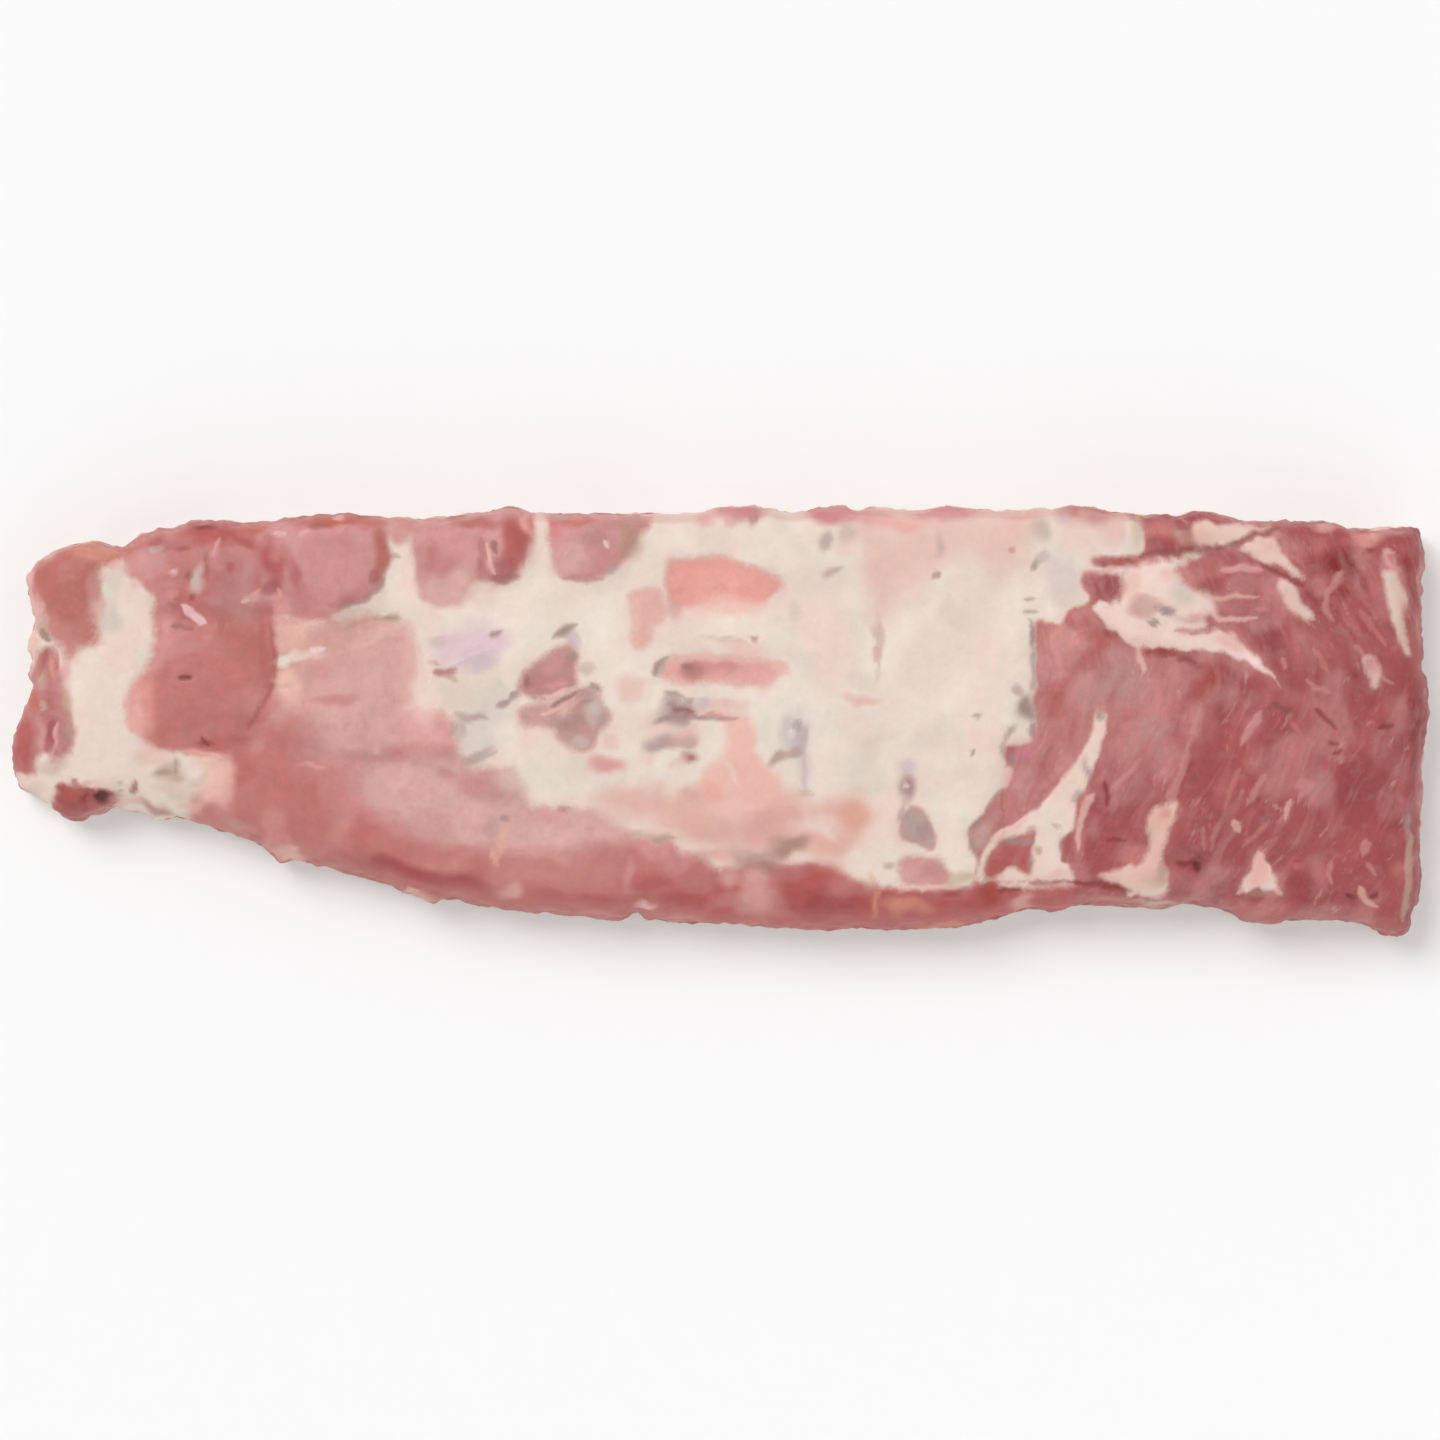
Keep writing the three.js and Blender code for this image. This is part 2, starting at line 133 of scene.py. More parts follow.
# Lean areas of the inner side: tone, softness of the border in mm, heading of the fibres in degrees,
# how much the fibres show, outline in mm
leanAreas = {
    "endPad": ("brownLean", 6.0, 60, 0.12, [
        (-301, 58), (-295, 69), (-282, 77), (-266, 81), (-253, 77), (-250, 71), (-256, 66), (-261, 64),
        (-263, 54), (-265, 46), (-262, 38), (-266, 32), (-272, 29), (-276, 25), (-281, 31), (-287, 39),
        (-290.5, 50)]),
    "endWall": ("mauveDark", 2.6, 80, 0.15, [
        (-306, -24), (-307, -10), (-303, 3), (-297, 12), (-293, 20), (-290, 28), (-286, 31), (-282, 29),
        (-280, 20), (-278, 10), (-275.5, 2), (-274, -6), (-276, -14), (-281, -17), (-288, -14),
        (-290.5, -18), (-291, -24.5), (-298, -26)]),
    "tag": ("deep", 1.8, 10, 0.2, [
        (-281, -27), (-274, -28), (-266, -29), (-258, -30), (-255.5, -34), (-258, -39), (-266, -44),
        (-272, -48), (-283, -46), (-284, -37)]),
    "firstRibLobe": ("dusty", 2.2, 70, 0.15, [
        (-253, 74), (-245, 84), (-226, 91), (-205, 91), (-190, 90), (-184, 76), (-184, 60), (-186, 46),
        (-198, 40), (-222, 34), (-234, 36), (-239, 44), (-241, 53), (-247, 59), (-253, 64)]),
    "secondRibLobe": ("mauve", 2.6, 100, 0.15, [
        (-193, 90), (-165, 94), (-142, 93), (-140.5, 78), (-140.5, 66), (-144, 57), (-149, 51),
        (-157, 47.5), (-167, 43), (-176, 42), (-190, 47), (-194, 62)]),
    "thirdRibLobe": ("mauve", 3.4, 95, 0.15, [
        (-131, 86), (-112, 95), (-88, 96), (-80, 90), (-79, 77), (-82, 68), (-87, 61), (-95, 57.5),
        (-102, 59), (-107, 56), (-113, 50), (-121, 48), (-128, 54), (-131, 64), (-131.5, 75)]),
    "fourthRibLobe": ("mauve", 2.8, 90, 0.15, [
        (-72.5, 91), (-50, 95), (-32, 94), (-29.5, 84), (-34, 77), (-38, 70), (-43, 65), (-51, 60.5),
        (-60, 59), (-67, 61), (-70.5, 68)]),
    "filmedPad": ("peach", 6.0, 20, 0.08, [
        (-198, 47), (-176, 41), (-161, 44), (-148, 44), (-137, 42), (-131, 36), (-129, 28), (-130, 15),
        (-132, 5), (-136, -4), (-142, -11), (-152, -20), (-170, -24), (-192, -18), (-208, -6), (-202, 8),
        (-199, 22)]),
    "pinkLobe": ("blush", 3.6, 30, 0.08, [
        (-148, -6), (-140, 2), (-133, 5), (-125, 4.5), (-117, 3.5), (-113, -4), (-111.5, -12), (-110, -22),
        (-128, -26), (-146, -20), (-146, -12)]),
    "nearPad": ("dusty", 4.2, -12, 0.12, [
        (-212, -9), (-200, 1), (-188, -4), (-160, -14), (-140, -12), (-122, -13), (-112, -14), (-106, -19),
        (-99, -20), (-92, -21), (-87, -22), (-83.5, -28), (-82, -34), (-78, -37), (-66, -38), (-54, -38.5),
        (-46, -43), (-40, -47), (-30, -51), (-20, -52), (-15, -57), (-4, -61), (4, -68), (4, -92),
        (-40, -96), (-120, -90), (-180, -70), (-200, -60), (-222, -50), (-225, -36), (-219, -31),
        (-212, -26), (-213, -18)]),
    "roundMuscle": ("dusty", 3.2, 8, 0.15, [
        (-239, 46), (-222, 42), (-205, 45), (-191, 48), (-189, 36), (-189, 22), (-191.5, 8), (-196, -3),
        (-204, -12), (-215, -15), (-230, -14), (-242, -11), (-250, -4), (-252, 6), (-249, 15), (-243.5, 23),
        (-241, 31), (-240, 39)]),
    "nearRoll": ("red", 3.6, 4, 0.15, [
        (-2, -66), (8, -62), (18, -60), (28, -62), (36, -60), (44, -61), (52, -63.5), (58, -68),
        (66, -71.5), (82, -71.5), (96, -71), (105, -71.5), (109, -67.5), (116, -67.5), (120, -70.5),
        (128, -72), (134, -71), (150, -70), (160, -73), (176, -77), (190, -78), (190, -92), (100, -98),
        (-10, -96)]),
    "ribWindow": ("salmon", 3.0, 5, 0.08, [
        (-22.5, 67.5), (-14, 68.5), (-2, 69.5), (8, 67.5), (16, 64.5), (24.5, 61), (26, 57.5), (22, 53),
        (18, 49.5), (0, 49), (-14, 48), (-20, 50), (-22, 58)]),
    "smallWindow": ("lightSalmon", 3.4, 80, 0.05, [
        (-37, 54), (-26, 55), (-23.5, 49), (-24, 43), (-29, 40), (-30, 33), (-34, 30), (-38, 33), (-36, 41),
        (-37, 47)]),
    "lowWindow": ("softRose", 3.8, 3, 0.05, [
        (-25, 22), (-21, 26), (-12, 26.5), (8, 26), (20, 25), (27, 22.5), (24, 18), (19, 14.5), (5, 15.5),
        (-4, 16.5), (-18, 16.8), (-24, 18)]),
    "patchA": ("duskyPink", 3.0, 30, 0.1, [
        (-85, 17), (-81, 22), (-75, 27), (-68, 31), (-63, 33), (-60.5, 28), (-60.5, 20), (-61, 14),
        (-68, 12), (-75, 9.5), (-84, 11)]),
    "patchB": ("greyRose", 3.0, 28, 0.1, [
        (-85, 4), (-79, 6), (-71, 7), (-64, 11), (-58, 14), (-53, 12), (-49, 6), (-47, -1), (-51, -6),
        (-54, -12), (-60, -13.5), (-68, -8), (-71, -4), (-77, -3), (-83, -3)]),
    "bandPocket": ("ash", 2.0, 60, 0.15, [
        (81, -36), (86, -38), (91, -46), (92, -52), (89, -55), (81, -52), (77, -49), (77, -42)]),
    "bandPatch": ("blush", 2.6, 20, 0.1, [
        (77, -59), (84, -58), (91, -60), (97, -65), (98, -69), (92, -70.5), (78, -70), (76, -64)]),
    "thickMuscle": ("muscle", 1.9, 62, 0.8, [
        (134, 41), (139, 41), (144, 40.5), (148, 46), (155, 49.5), (156, 53), (153.5, 58), (155.5, 62.5),
        (162, 63), (168, 62), (171, 61), (171.5, 64.5), (161, 64.8), (157.5, 67), (160, 69.8),
        (178.5, 70.3), (179, 80), (178, 98), (308, 94), (308, -100), (200, -96), (152, -84), (150, -70),
        (112, -68), (110, -59.5), (107, -54), (105.5, -49), (106.5, -45), (110, -41), (114, -36),
        (118, -31), (122, -27), (124, -21), (121, -19), (120.5, -12), (126, -10.5), (131, -9), (133.5, -3),
        (133.5, 8), (134, 20)]),
}

# Fat that lies over the lean or shows through it
fatAreas = {
    "longStrand": ("warmCream", 1.6, [
        (160.5, 4), (163, 4), (163.8, 0), (163, -6), (161, -12), (158.7, -19), (157, -25), (155, -30),
        (151.5, -34), (151, -40), (149.5, -46), (146, -50), (144.5, -54), (145, -59), (148.5, -62),
        (149.5, -68), (140, -68.5), (128, -68.5), (118, -68.5), (109.5, -68.5), (110.5, -60), (113, -54),
        (118, -48.5), (124, -44.5), (130, -40.5), (135, -37), (141, -30.5), (147, -23), (150, -19),
        (154, -12), (157.5, -6)]),
    "tendon": ("pinkFat", 1.7, [
        (159, 48.5), (161.5, 50), (168, 49.5), (174, 45), (179, 41), (190, 39.5), (200, 37.5), (208, 37.5),
        (214, 38.5), (218, 36), (221.5, 32), (225, 29), (229, 26.5), (232, 22), (236, 16), (238.5, 13.5),
        (234, 18), (230, 21.5), (225, 23.5), (221, 26), (215, 28), (206, 29), (197, 29.8), (188, 30.6),
        (179, 31.3), (172, 34.2), (166.5, 38.5), (162, 42.5), (159, 46)]),
    "membrane": ("pinkFat", 3.2, [
        (171, 60), (172, 64), (178, 66), (186, 67.5), (196, 69.5), (203, 71.5), (203, 68.5), (196, 66),
        (194, 62.5), (197, 58), (202, 55), (207, 53), (210, 50.5), (209, 46.5), (205.5, 43), (206, 39),
        (196, 36), (184, 37), (175, 41), (169, 48), (172, 55)]),
    "upperStrand": ("haze", 2.1, [
        (221, 72.5), (223.5, 75), (229, 78), (234, 79), (236.5, 76), (237.5, 71.5), (241, 68), (245, 64.5),
        (247.5, 61), (243, 62), (238, 65.5), (232, 66), (226, 69.5)]),
    "secondStrand": ("rosyFat", 2.1, [
        (236.5, 57.5), (239, 59), (243.5, 57.5), (245.5, 53), (247.5, 49), (251, 46), (252.5, 43),
        (250, 42), (245, 44.5), (240.5, 48), (238.5, 52.5)]),
    "cornerFat": ("peachFat", 2.5, [
        (202.5, 75), (202, 83.5), (212, 84.5), (222, 83.5), (233, 82.5), (227, 80), (221, 76.5),
        (215, 74.2), (208, 73.8)]),
    "endSeam": ("oliveCream", 2.2, [
        (282, 63), (287, 61.5), (290.5, 54), (290, 46), (290.5, 38), (292.5, 28), (290, 29.5), (288, 36),
        (285, 42), (284, 48), (282.5, 55)]),
    "midStrand": ("rosyFat", 2.4, [
        (184, -38.5), (186, -36.5), (192.5, -36), (193, -42), (190.5, -47), (188.8, -52), (188, -58),
        (188.5, -63), (190.5, -68), (189.5, -73), (184, -75.5), (176, -75), (172, -71), (165, -68.5),
        (160, -67), (165, -65), (171, -62.5), (178, -61), (181, -57), (182.5, -53), (182, -49.5),
        (181, -46), (181.5, -42)]),
    "sideFleck": ("clay", 1.9, [
        (272.5, 26.5), (275, 28), (278, 27.5), (279.5, 23), (280, 19), (278.5, 13), (276.5, 14),
        (275.5, 18), (273.5, 22)]),
    "fatTriangle": ("lightSalmon", 1.6, [
        (229, -55.5), (231, -57), (232.5, -61), (235, -65), (236, -71.5), (228, -71.5), (220.5, -72),
        (222, -68), (225, -64.5), (227, -59)]),
}
leanInStrand = {
    "strandPatch": ("red", 1.8, 30, 0.5, [
        (113, -66), (113.5, -60), (116, -54.5), (120, -51), (124, -49.5), (130, -48), (133, -47),
        (134, -51), (132.3, -56), (132.5, -61), (131, -66), (126, -64), (122, -63), (119, -66),
        (116, -68)]),
}

# Hazes of tone with a traced outline: layers, tone, softness in mm, strength, outline
hazes = {
    "peachGround": ("both", "haze", 7, 0.9, [
        (-50, -32), (-30, -29), (-12, -29), (0, -22), (14, -20), (25, -30), (40, -33), (52, -31), (63, -35),
        (66, -44), (58, -53), (50, -60), (30, -57), (14, -56), (-2, -56), (-14, -52), (-30, -45),
        (-46, -42)]),
    "pinkMiddle": ("both", "lightSalmon", 3.6, 0.95, [
        (-9, 3), (4, 4.5), (12, 2), (14, -6), (14.5, -14), (19, -18), (24, -22), (24, -30), (20, -40),
        (8, -44), (-4, -40), (-9, -30), (-7, -22), (0, -18), (3, -10), (2, -2)]),
    "pinkFatBand": ("fat", "rosyFat", 8, 0.75, [
        (58, 92), (60, 70), (63, 48), (68, 44), (78, 50), (90, 62), (104, 70), (122, 62), (131, 74),
        (131, 92)]),
    "palerMuscle": ("lean", "clay", 9, 0.8, [
        (128, 42), (148, 50), (160, 44), (172, 34), (190, 28), (200, 18), (192, 2), (186, -14), (176, -24),
        (162, -18), (152, -34), (132, -46), (108, -54), (104, -44), (118, -22), (128, 5)]),
    "warmNeck": ("fat", "warmCream", 8, 0.6, [
        (-272, 24), (-258, 30), (-254, 0), (-250, -14), (-232, -18), (-222, -28), (-226, -38), (-250, -32),
        (-268, -26), (-276, -14), (-272, 6)]),
    "rosyNeck": ("fat", "pinkFat", 4, 0.9, [
        (-256, 66), (-246, 56), (-238, 42), (-248, 28), (-256, 16), (-262, 26), (-256, 36), (-248, 44),
        (-252, 54)]),
    "lilacFilm": ("fat", "lilac", 5, 0.9, [
        (-122, 30), (-114, 39), (-104, 41), (-92, 37), (-92, 30), (-97, 24), (-104, 22), (-112, 23),
        (-120, 24)]),
    "greyFilm": ("fat", "greyFat", 5, 0.5, [
        (-118, 14), (-104, 16), (-94, 20), (-86, 10), (-90, 0), (-96, -8), (-92, -16), (-100, -20),
        (-110, -14), (-112, -4), (-116, 6)]),
    "mauveFilm": ("lean", "paleMauve", 6, 0.6, [
        (-172, 6), (-166, 30), (-148, 34), (-136, 26), (-134, 4), (-140, -12), (-156, -18), (-172, -14),
        (-182, -4)]),
    "mauvePad": ("lean", "paleMauve", 7, 1.0, [
        (-152, -20), (-128, -16), (-112, -14), (-100, -18), (-86, -20), (-80, -36), (-66, -36), (-46, -38),
        (-36, -48), (-52, -55), (-80, -56), (-106, -54), (-132, -46), (-152, -36)]),
    "peachPad": ("lean", "clay", 5, 0.7, [
        (-104, -55), (-84, -57), (-60, -57), (-40, -56), (-42, -66), (-60, -71), (-84, -69), (-98, -64)]),
    "nearDark": ("both", "brick", 4, 0.6, [
        (-176, -59), (-152, -60), (-130, -63), (-106, -67), (-84, -73), (-60, -76), (-36, -78), (-30, -92),
        (-80, -90), (-140, -84), (-184, -68)]),
}

# Soft patches of tone, by place and layers: x, y, both radii in mm, tone, strength, turn in degrees
patches = {
    "end pad and end wall": ("both", [
        (-277, 56, 11, 13, "brownLean", 0.7, 10), (-284, 71, 10, 4, "paleMauve", 0.8, 28),
        (-264, 72, 13, 4, "orange", 0.75), (-294, 60, 3.5, 9, "rosyFat", 0.8, -15),
        (-291, 46, 3, 10, "rose", 0.6, 5), (-254, 73, 6, 3, "rust", 0.6, -20),
        (-258, 56, 3.5, 6, "greenGrey", 0.9), (-266, 56, 4, 10, "mauve", 0.6),
        (-257, 42, 5, 6, "greyFat", 0.8), (-255, 61, 5, 6, "greyFat", 0.6),
        (-279, 15, 3.6, 12, "mauve", 0.8, -8), (-294, -29, 7, 3.4, "tanRose", 0.6, -15),
        (-263, 48, 4, 7, "mauve", 0.4), (-257, 66, 3, 3, "rosyFat", 0.8),
        (-296, -10, 4.4, 15, "brick", 1.0, 4), (-291, 8, 2.6, 8, "rust", 0.9, -20),
        (-281.5, 8, 3.4, 12, "mauveDark", 0.7, -8), (-285, -6, 1.9, 9, "deep", 0.8, 4),
        (-289, -5, 1.8, 10, "mauve", 0.8, 4), (-276, 0, 2.4, 15, "tan", 0.7, 6),
        (-288, 18, 2, 5, "olive", 0.9), (-287.6, 6, 1.6, 2.6, "olive", 0.8),
        # the hole patch at (-261.5, -33.3) paints the shade in the tag's hole
        (-281.5, -12, 1.8, 6, "mauve", 0.6), (-261.5, -33.3, 4.2, 3.4, "hole", 0.95),
        (-293, 34, 4, 9, "peachFat", 0.8), (-288, 40, 3, 6, "tan", 0.6, 10),
        (-286.5, 36, 2, 3.4, "tanDark", 0.8, 10), (-284, -20, 8, 4, "tan", 0.5, 10),
        (-294, -26, 6, 3, "pinkFat", 0.8, -15), (-277, -32, 6, 4, "rust", 0.5, -8),
        (-288, -29, 7, 3, "warmCream", 0.6, -20), (-266, -27.5, 8, 1.8, "peachFat", 0.5)]),
    "fat of the left end": ("both", [
        (-233, -21.5, 8, 5, "tan", 0.75), (-230.7, -20, 1.8, 4, "tanDark", 0.85),
        (-236, -22, 5, 1.3, "tanDark", 0.6), (-219, -19, 8, 5, "peachFat", 0.9),
        (-222, -25, 6, 4, "tan", 0.4), (-217, -30, 6, 9, "lightSalmon", 0.85, -20),
        (-240, -37.5, 11, 2.8, "tanRose", 0.9, -10), (-224, -36.5, 6, 2, "peachFat", 0.7, -10),
        (-240, -14, 9, 4, "peachFat", 0.6, -15), (-248.7, -28.4, 1.9, 3.2, "brownMauve", 1.0, -15),
        (-226, -20, 7, 5, "cream", 0.6), (-248, 2, 4, 12, "pinkFat", 0.7),
        (-230, -30, 12, 5, "tan", 0.3, -8), (-252, -35, 9, 2.4, "rosyFat", 0.5, -5)]),
    "round muscle": ("lean", [
        (-239, 29, 8, 10, "rose", 0.5, -10), (-248, 8, 10, 20, "salmon", 0.7, 6),
        (-203, 36, 12, 10, "brownLean", 0.7), (-210, -9, 14, 3.0, "brick", 0.45, 8),
        (-218, -10, 4, 1.8, "maroon", 0.4), (-219, -14.5, 10, 1.6, "salmon", 0.9, -12),
        # the brick strip at (-193, 30) is painted shade beside the crease on the muscle's right edge
        (-236, 41, 5, 5, "rose", 0.6), (-193, 30, 2.4, 15, "brick", 0.4, -2),
        (-227.2, 18.6, 3, 1.0, "maroon", 0.6)]),
    "first rib lobe": ("both", [
        (-243, 66, 10, 7, "mauve", 0.85, 20), (-215, 80, 16, 7, "red", 0.9),
        (-206, 52, 12, 10, "duskyPink", 0.6, -8), (-201, 76, 7, 2.6, "brick", 0.8, -15),
        (-208, 63, 12, 9, "mauveDark", 0.6), (-222, 60, 3, 6.5, "greyFat", 0.75, -10),
        (-239.5, 72.5, 4, 2, "greyFat", 0.7), (-228, 73, 3.4, 1.4, "maroon", 0.45),
        (-233, 48, 5, 3, "mauveDark", 0.6), (-225.5, 61, 2, 2.4, "maroon", 0.5),
        # the rose streak at (-214, 72) is a painted highlight
        (-224, 52, 1.8, 2, "maroon", 0.4), (-214, 72, 1.8, 5, "rose", 0.8, -12),
        (-217.5, 66, 1.4, 6, "maroon", 0.4), (-208, 65, 2.4, 3, "brick", 0.7),
        (-198, 52, 5, 3, "rosyFat", 0.7, 20), (-232, 63, 2.4, 1.6, "glint", 0.5),
        (-236, 74, 8, 3, "wine", 0.4, 20), (-215, 51, 6, 3, "mauve", 0.5),
        (-219, 82, 8, 1.4, "maroon", 0.4), (-247, 58, 4, 3, "blush", 0.5, -35),
        (-200, 63, 4, 8, "mauve", 0.6)]),
    "second rib lobe": ("both", [
        # the red valley at (-190, 67) and the dark band at (-145, 70) are partly the lobe's own deeper red
        # and partly painted shade across its bulge
        (-190, 67, 5, 13, "red", 0.9, 10), (-181, 64, 3.6, 11, "brick", 0.6, 28),
        (-171, 46, 7, 3, "dusty", 0.5, -35), (-163, 68, 14, 10, "mauve", 0.85, -10),
        (-145, 70, 4.4, 16, "brownLean", 1.0), (-147, 61, 3, 4, "wine", 0.5),
        # the mauveDark strip at (-158, 51.5) is painted shade under the lobe's lower edge
        (-158, 51.5, 9, 4, "mauveDark", 0.9, 12), (-166, 85.5, 27, 4.4, "red", 0.9),
        # the lightSalmon dashes at (-187, 79), (-176, 80) and (-162, 86) are painted highlights along the
        # top edge
        (-163, 84.5, 20, 3.2, "rust", 0.8), (-187, 79, 3.4, 1.4, "lightSalmon", 0.7),
        (-176, 80, 3, 1.4, "lightSalmon", 0.4, 20), (-162, 86, 3, 1.4, "lightSalmon", 0.6),
        (-190, 56, 4, 4, "wine", 0.45), (-196, 83, 8, 2.5, "rust", 0.6),
        (-172, 82, 7, 1.6, "umber", 0.5, 5), (-188, 71, 4, 5, "dusty", 0.6),
        (-187, 51, 4, 4, "rose", 0.7)]),
    "third rib lobe": ("both", [
        (-110, 60, 8, 6, "paleMauve", 0.6), (-122, 72, 5, 8, "brownLean", 0.45),
        (-88.5, 76, 6, 13, "red", 0.85), (-91, 65, 6, 5, "wine", 0.45), (-85, 72, 2.6, 9, "brick", 0.6, 10),
        (-116, 55, 13, 7, "paleMauve", 0.95), (-111, 57, 7, 5, "rosyFat", 0.7),
        # the umber strip at (-92, 59.8) is painted shade under the lobe's lower edge
        (-121, 57, 7, 7, "paleMauve", 0.8, 20), (-92, 59.8, 7, 2, "umber", 0.6, 8),
        (-83.5, 84, 1.8, 6, "salmon", 0.9, 4), (-135.5, 81, 6, 9, "clay", 0.85),
        (-100.5, 68, 2.2, 10, "mauveDark", 0.8, 4), (-104, 84, 12, 2.6, "russet", 0.5, -3),
        (-79.5, 84, 1.8, 5, "brightRed", 0.6), (-76, 84, 3, 5, "pinkFat", 0.8)]),
    "fourth rib lobe": ("both", [
        (-62, 69, 9, 10, "paleMauve", 0.8), (-37, 78, 6, 9, "tan", 0.65),
        # the duskyPink strip at (-58, 60.8) is painted shadow under the lobe's lower edge
        (-70.5, 81, 2.4, 3.4, "brightRed", 0.9), (-58, 60.8, 9, 1.8, "duskyPink", 0.5, -2),
        (-60, 85, 9, 2.6, "rust", 0.6), (-46, 64, 4, 2, "ash", 0.6, 30), (-48, 75, 2, 2, "glint", 0.4),
        (-54, 77, 8, 4, "duskyPink", 0.6)]),
    "filmed pad": ("both", [
        (-182, 36, 8, 8, "peachFat", 0.7), (-179, 26.5, 11, 3.2, "pinkFat", 0.85, 14),
        (-186, 25, 4, 3.4, "greenGrey", 0.9), (-171, 30, 3.4, 1.6, "glint", 0.8, 10),
        (-163, 8.5, 11, 2.4, "dusty", 0.6), (-160, -14, 24, 4, "duskyPink", 0.6, -6),
        (-143, 42.5, 7, 2.4, "tan", 0.8, 12), (-139, 44, 4, 1.6, "tanDark", 0.55, 10),
        (-148, 34, 13, 3, "peachFat", 0.5, 14), (-132, 18, 4, 20, "rosyFat", 0.6),
        (-184, 14, 7, 8, "peachFat", 0.8), (-155, 39.5, 8, 1.8, "tan", 0.5, 10),
        (-180, -5, 16, 6, "dusty", 0.5, -15), (-186, 47, 4, 3, "rose", 0.7),
        (-178, 44, 8, 3, "dusty", 0.4, 10), (-133, 62, 4, 12, "pinkFat", 0.9, 8),
        (-138, 69.5, 3, 1.2, "grey", 0.6), (-158, 46.5, 8, 3, "greyFat", 0.7, 12),
        (-113.5, -4, 1.6, 3, "grey", 0.4)]),
    "near pad": ("both", [
        (-98, -30, 13, 7, "duskyPink", 0.7, -12), (-72, -42, 9, 4, "rose", 0.5, -6),
        # the pale mauve band at (-134, -21) is a painted highlight along a curved fold
        (-134, -21, 16, 3, "paleMauve", 0.7, -8), (-124, -66, 32, 4.4, "deep", 0.75, -11),
        (-212, -27, 6, 12, "lightSalmon", 0.85), (-205, -45, 7, 2.6, "tanRose", 0.8, -20),
        (-197, -51, 4, 2, "maroon", 0.4, -25), (-102, -29, 12, 6, "mauve", 0.6, -10),
        (-116, -24, 6, 3, "brownLean", 0.4, -20), (-91, -50, 2.4, 9, "haze", 0.8, -25),
        (-95.5, -58, 2, 4, "haze", 0.7, 10), (-91.5, -42, 2.4, 1.6, "greyMauve", 0.7),
        (-90, -72.5, 7, 3.4, "peachFat", 0.6), (-97, -46, 6, 5, "greyMauve", 0.35),
        (-58, -76, 22, 3.4, "brick", 0.7, -3), (-66, -37.5, 3, 1.8, "mauveDark", 0.6),
        (-112, -54, 8, 4, "dusty", 0.5, -10), (-182, -56, 9, 3, "peachFat", 0.9, -18),
        (-129, -75.5, 9, 2, "peachFat", 0.85, -5), (-50, -83, 12, 2, "rosePink", 0.7, -3),
        (-150, -59, 16, 3, "wine", 0.3, -12), (-172, -19.5, 7, 1.4, "blush", 0.6, -8),
        (-120, -44, 12, 5, "mauve", 0.4, -8), (-75, -58, 16, 4, "peach", 0.5, -5)]),
    "middle of the near edge": ("both", [
        (-28, -55, 9, 5, "rose", 0.7, -8), (9, -50, 15, 7, "rose", 0.35, -4),
        (20, -43, 12, 6, "peach", 0.5), (-30, -69, 14, 4, "brick", 0.6, -5), (-14, -78, 16, 6, "red", 0.85),
        (-39, -64, 2.4, 7, "rose", 0.6, -10), (-32, -78.5, 6, 1.8, "glint", 0.6, -5),
        (-10, -62, 8, 6, "dusty", 0.5), (-20, -61, 8, 4, "rose", 0.4), (-38, -74, 10, 3, "brick", 0.5),
        (-2, -78, 6, 3, "dusty", 0.5), (2, -59, 9, 4, "haze", 0.9), (4, -67, 5, 5, "peach", 0.85),
        (4, -75, 8, 5, "clay", 0.7), (34, -64, 10, 3, "clay", 0.6), (15, -66, 8, 7, "peach", 0.9),
        (16, -77, 10, 9, "peach", 0.85), (26, -63, 8, 3.4, "mauveDark", 0.7, -10),
        (40, -68, 14, 6, "red", 0.6), (44, -78, 14, 8, "deep", 0.8), (65, -76, 2.4, 12, "orange", 0.8),
        (80, -79, 12, 4.4, "orange", 0.7), (94, -86.5, 14, 1.4, "orange", 0.6),
        (101, -72.5, 6, 2, "wine", 0.6), (114, -74, 5, 7, "russet", 0.6), (58, -72, 9, 5, "dusty", 0.7),
        (128, -77, 7, 3, "haze", 0.8, 15), (126, -71.5, 3, 1.6, "maroon", 0.5),
        (183, -78, 11, 2, "oliveCream", 0.9), (164, -76, 10, 2, "orange", 0.5),
        (155, -73, 5, 3, "deep", 0.6)]),
    "fat of the middle": ("both", [
        (-104, 27, 9, 4, "lilacGrey", 0.5, 10), (-101, 23, 8, 3.2, "lilacGrey", 0.7, 12),
        (-115.5, 21, 6, 1.8, "mauveDark", 0.8, 5), (-114, 18, 4, 1.6, "tan", 0.6, -20),
        (-122, 24, 3, 1.2, "ash", 0.8), (-120, 33, 5, 3, "ash", 0.4),
        (-95, 36.5, 3.4, 1.8, "grey", 0.6, 20), (-92, 7, 3.4, 1.6, "ash", 0.8, 20),
        (-87, 10.5, 2.6, 2.2, "grey", 0.6, 40), (-104, 1, 8, 2, "ash", 0.8, -4),
        (-110, -4, 3, 5, "ash", 0.6), (-103, -16, 9, 2, "ash", 0.8, 20),
        (-95, -17, 6, 3, "pinkFat", 0.7, 20), (-125, 12, 6, 14, "pinkFat", 0.8),
        (-121, 42, 5, 8, "pinkFat", 0.7), (-78, -26, 18, 9, "greenGrey", 0.35),
        (-55, 40, 10, 14, "whiteFat", 0.5), (-66, 37.5, 6, 2, "grey", 0.7, 32),
        (-62, 34, 3.4, 4, "lilacGrey", 0.7), (-56.5, 22, 4, 3, "ash", 0.5, 30),
        (-53, 13.5, 3, 3, "ash", 0.8, 40), (-49, 1, 3.4, 5, "ash", 0.55), (-46, -10, 4, 4, "rosyFat", 0.5),
        (-69, 14, 6, 2, "rose", 0.8, 10), (-81.5, 16, 1.8, 2.6, "maroon", 0.35),
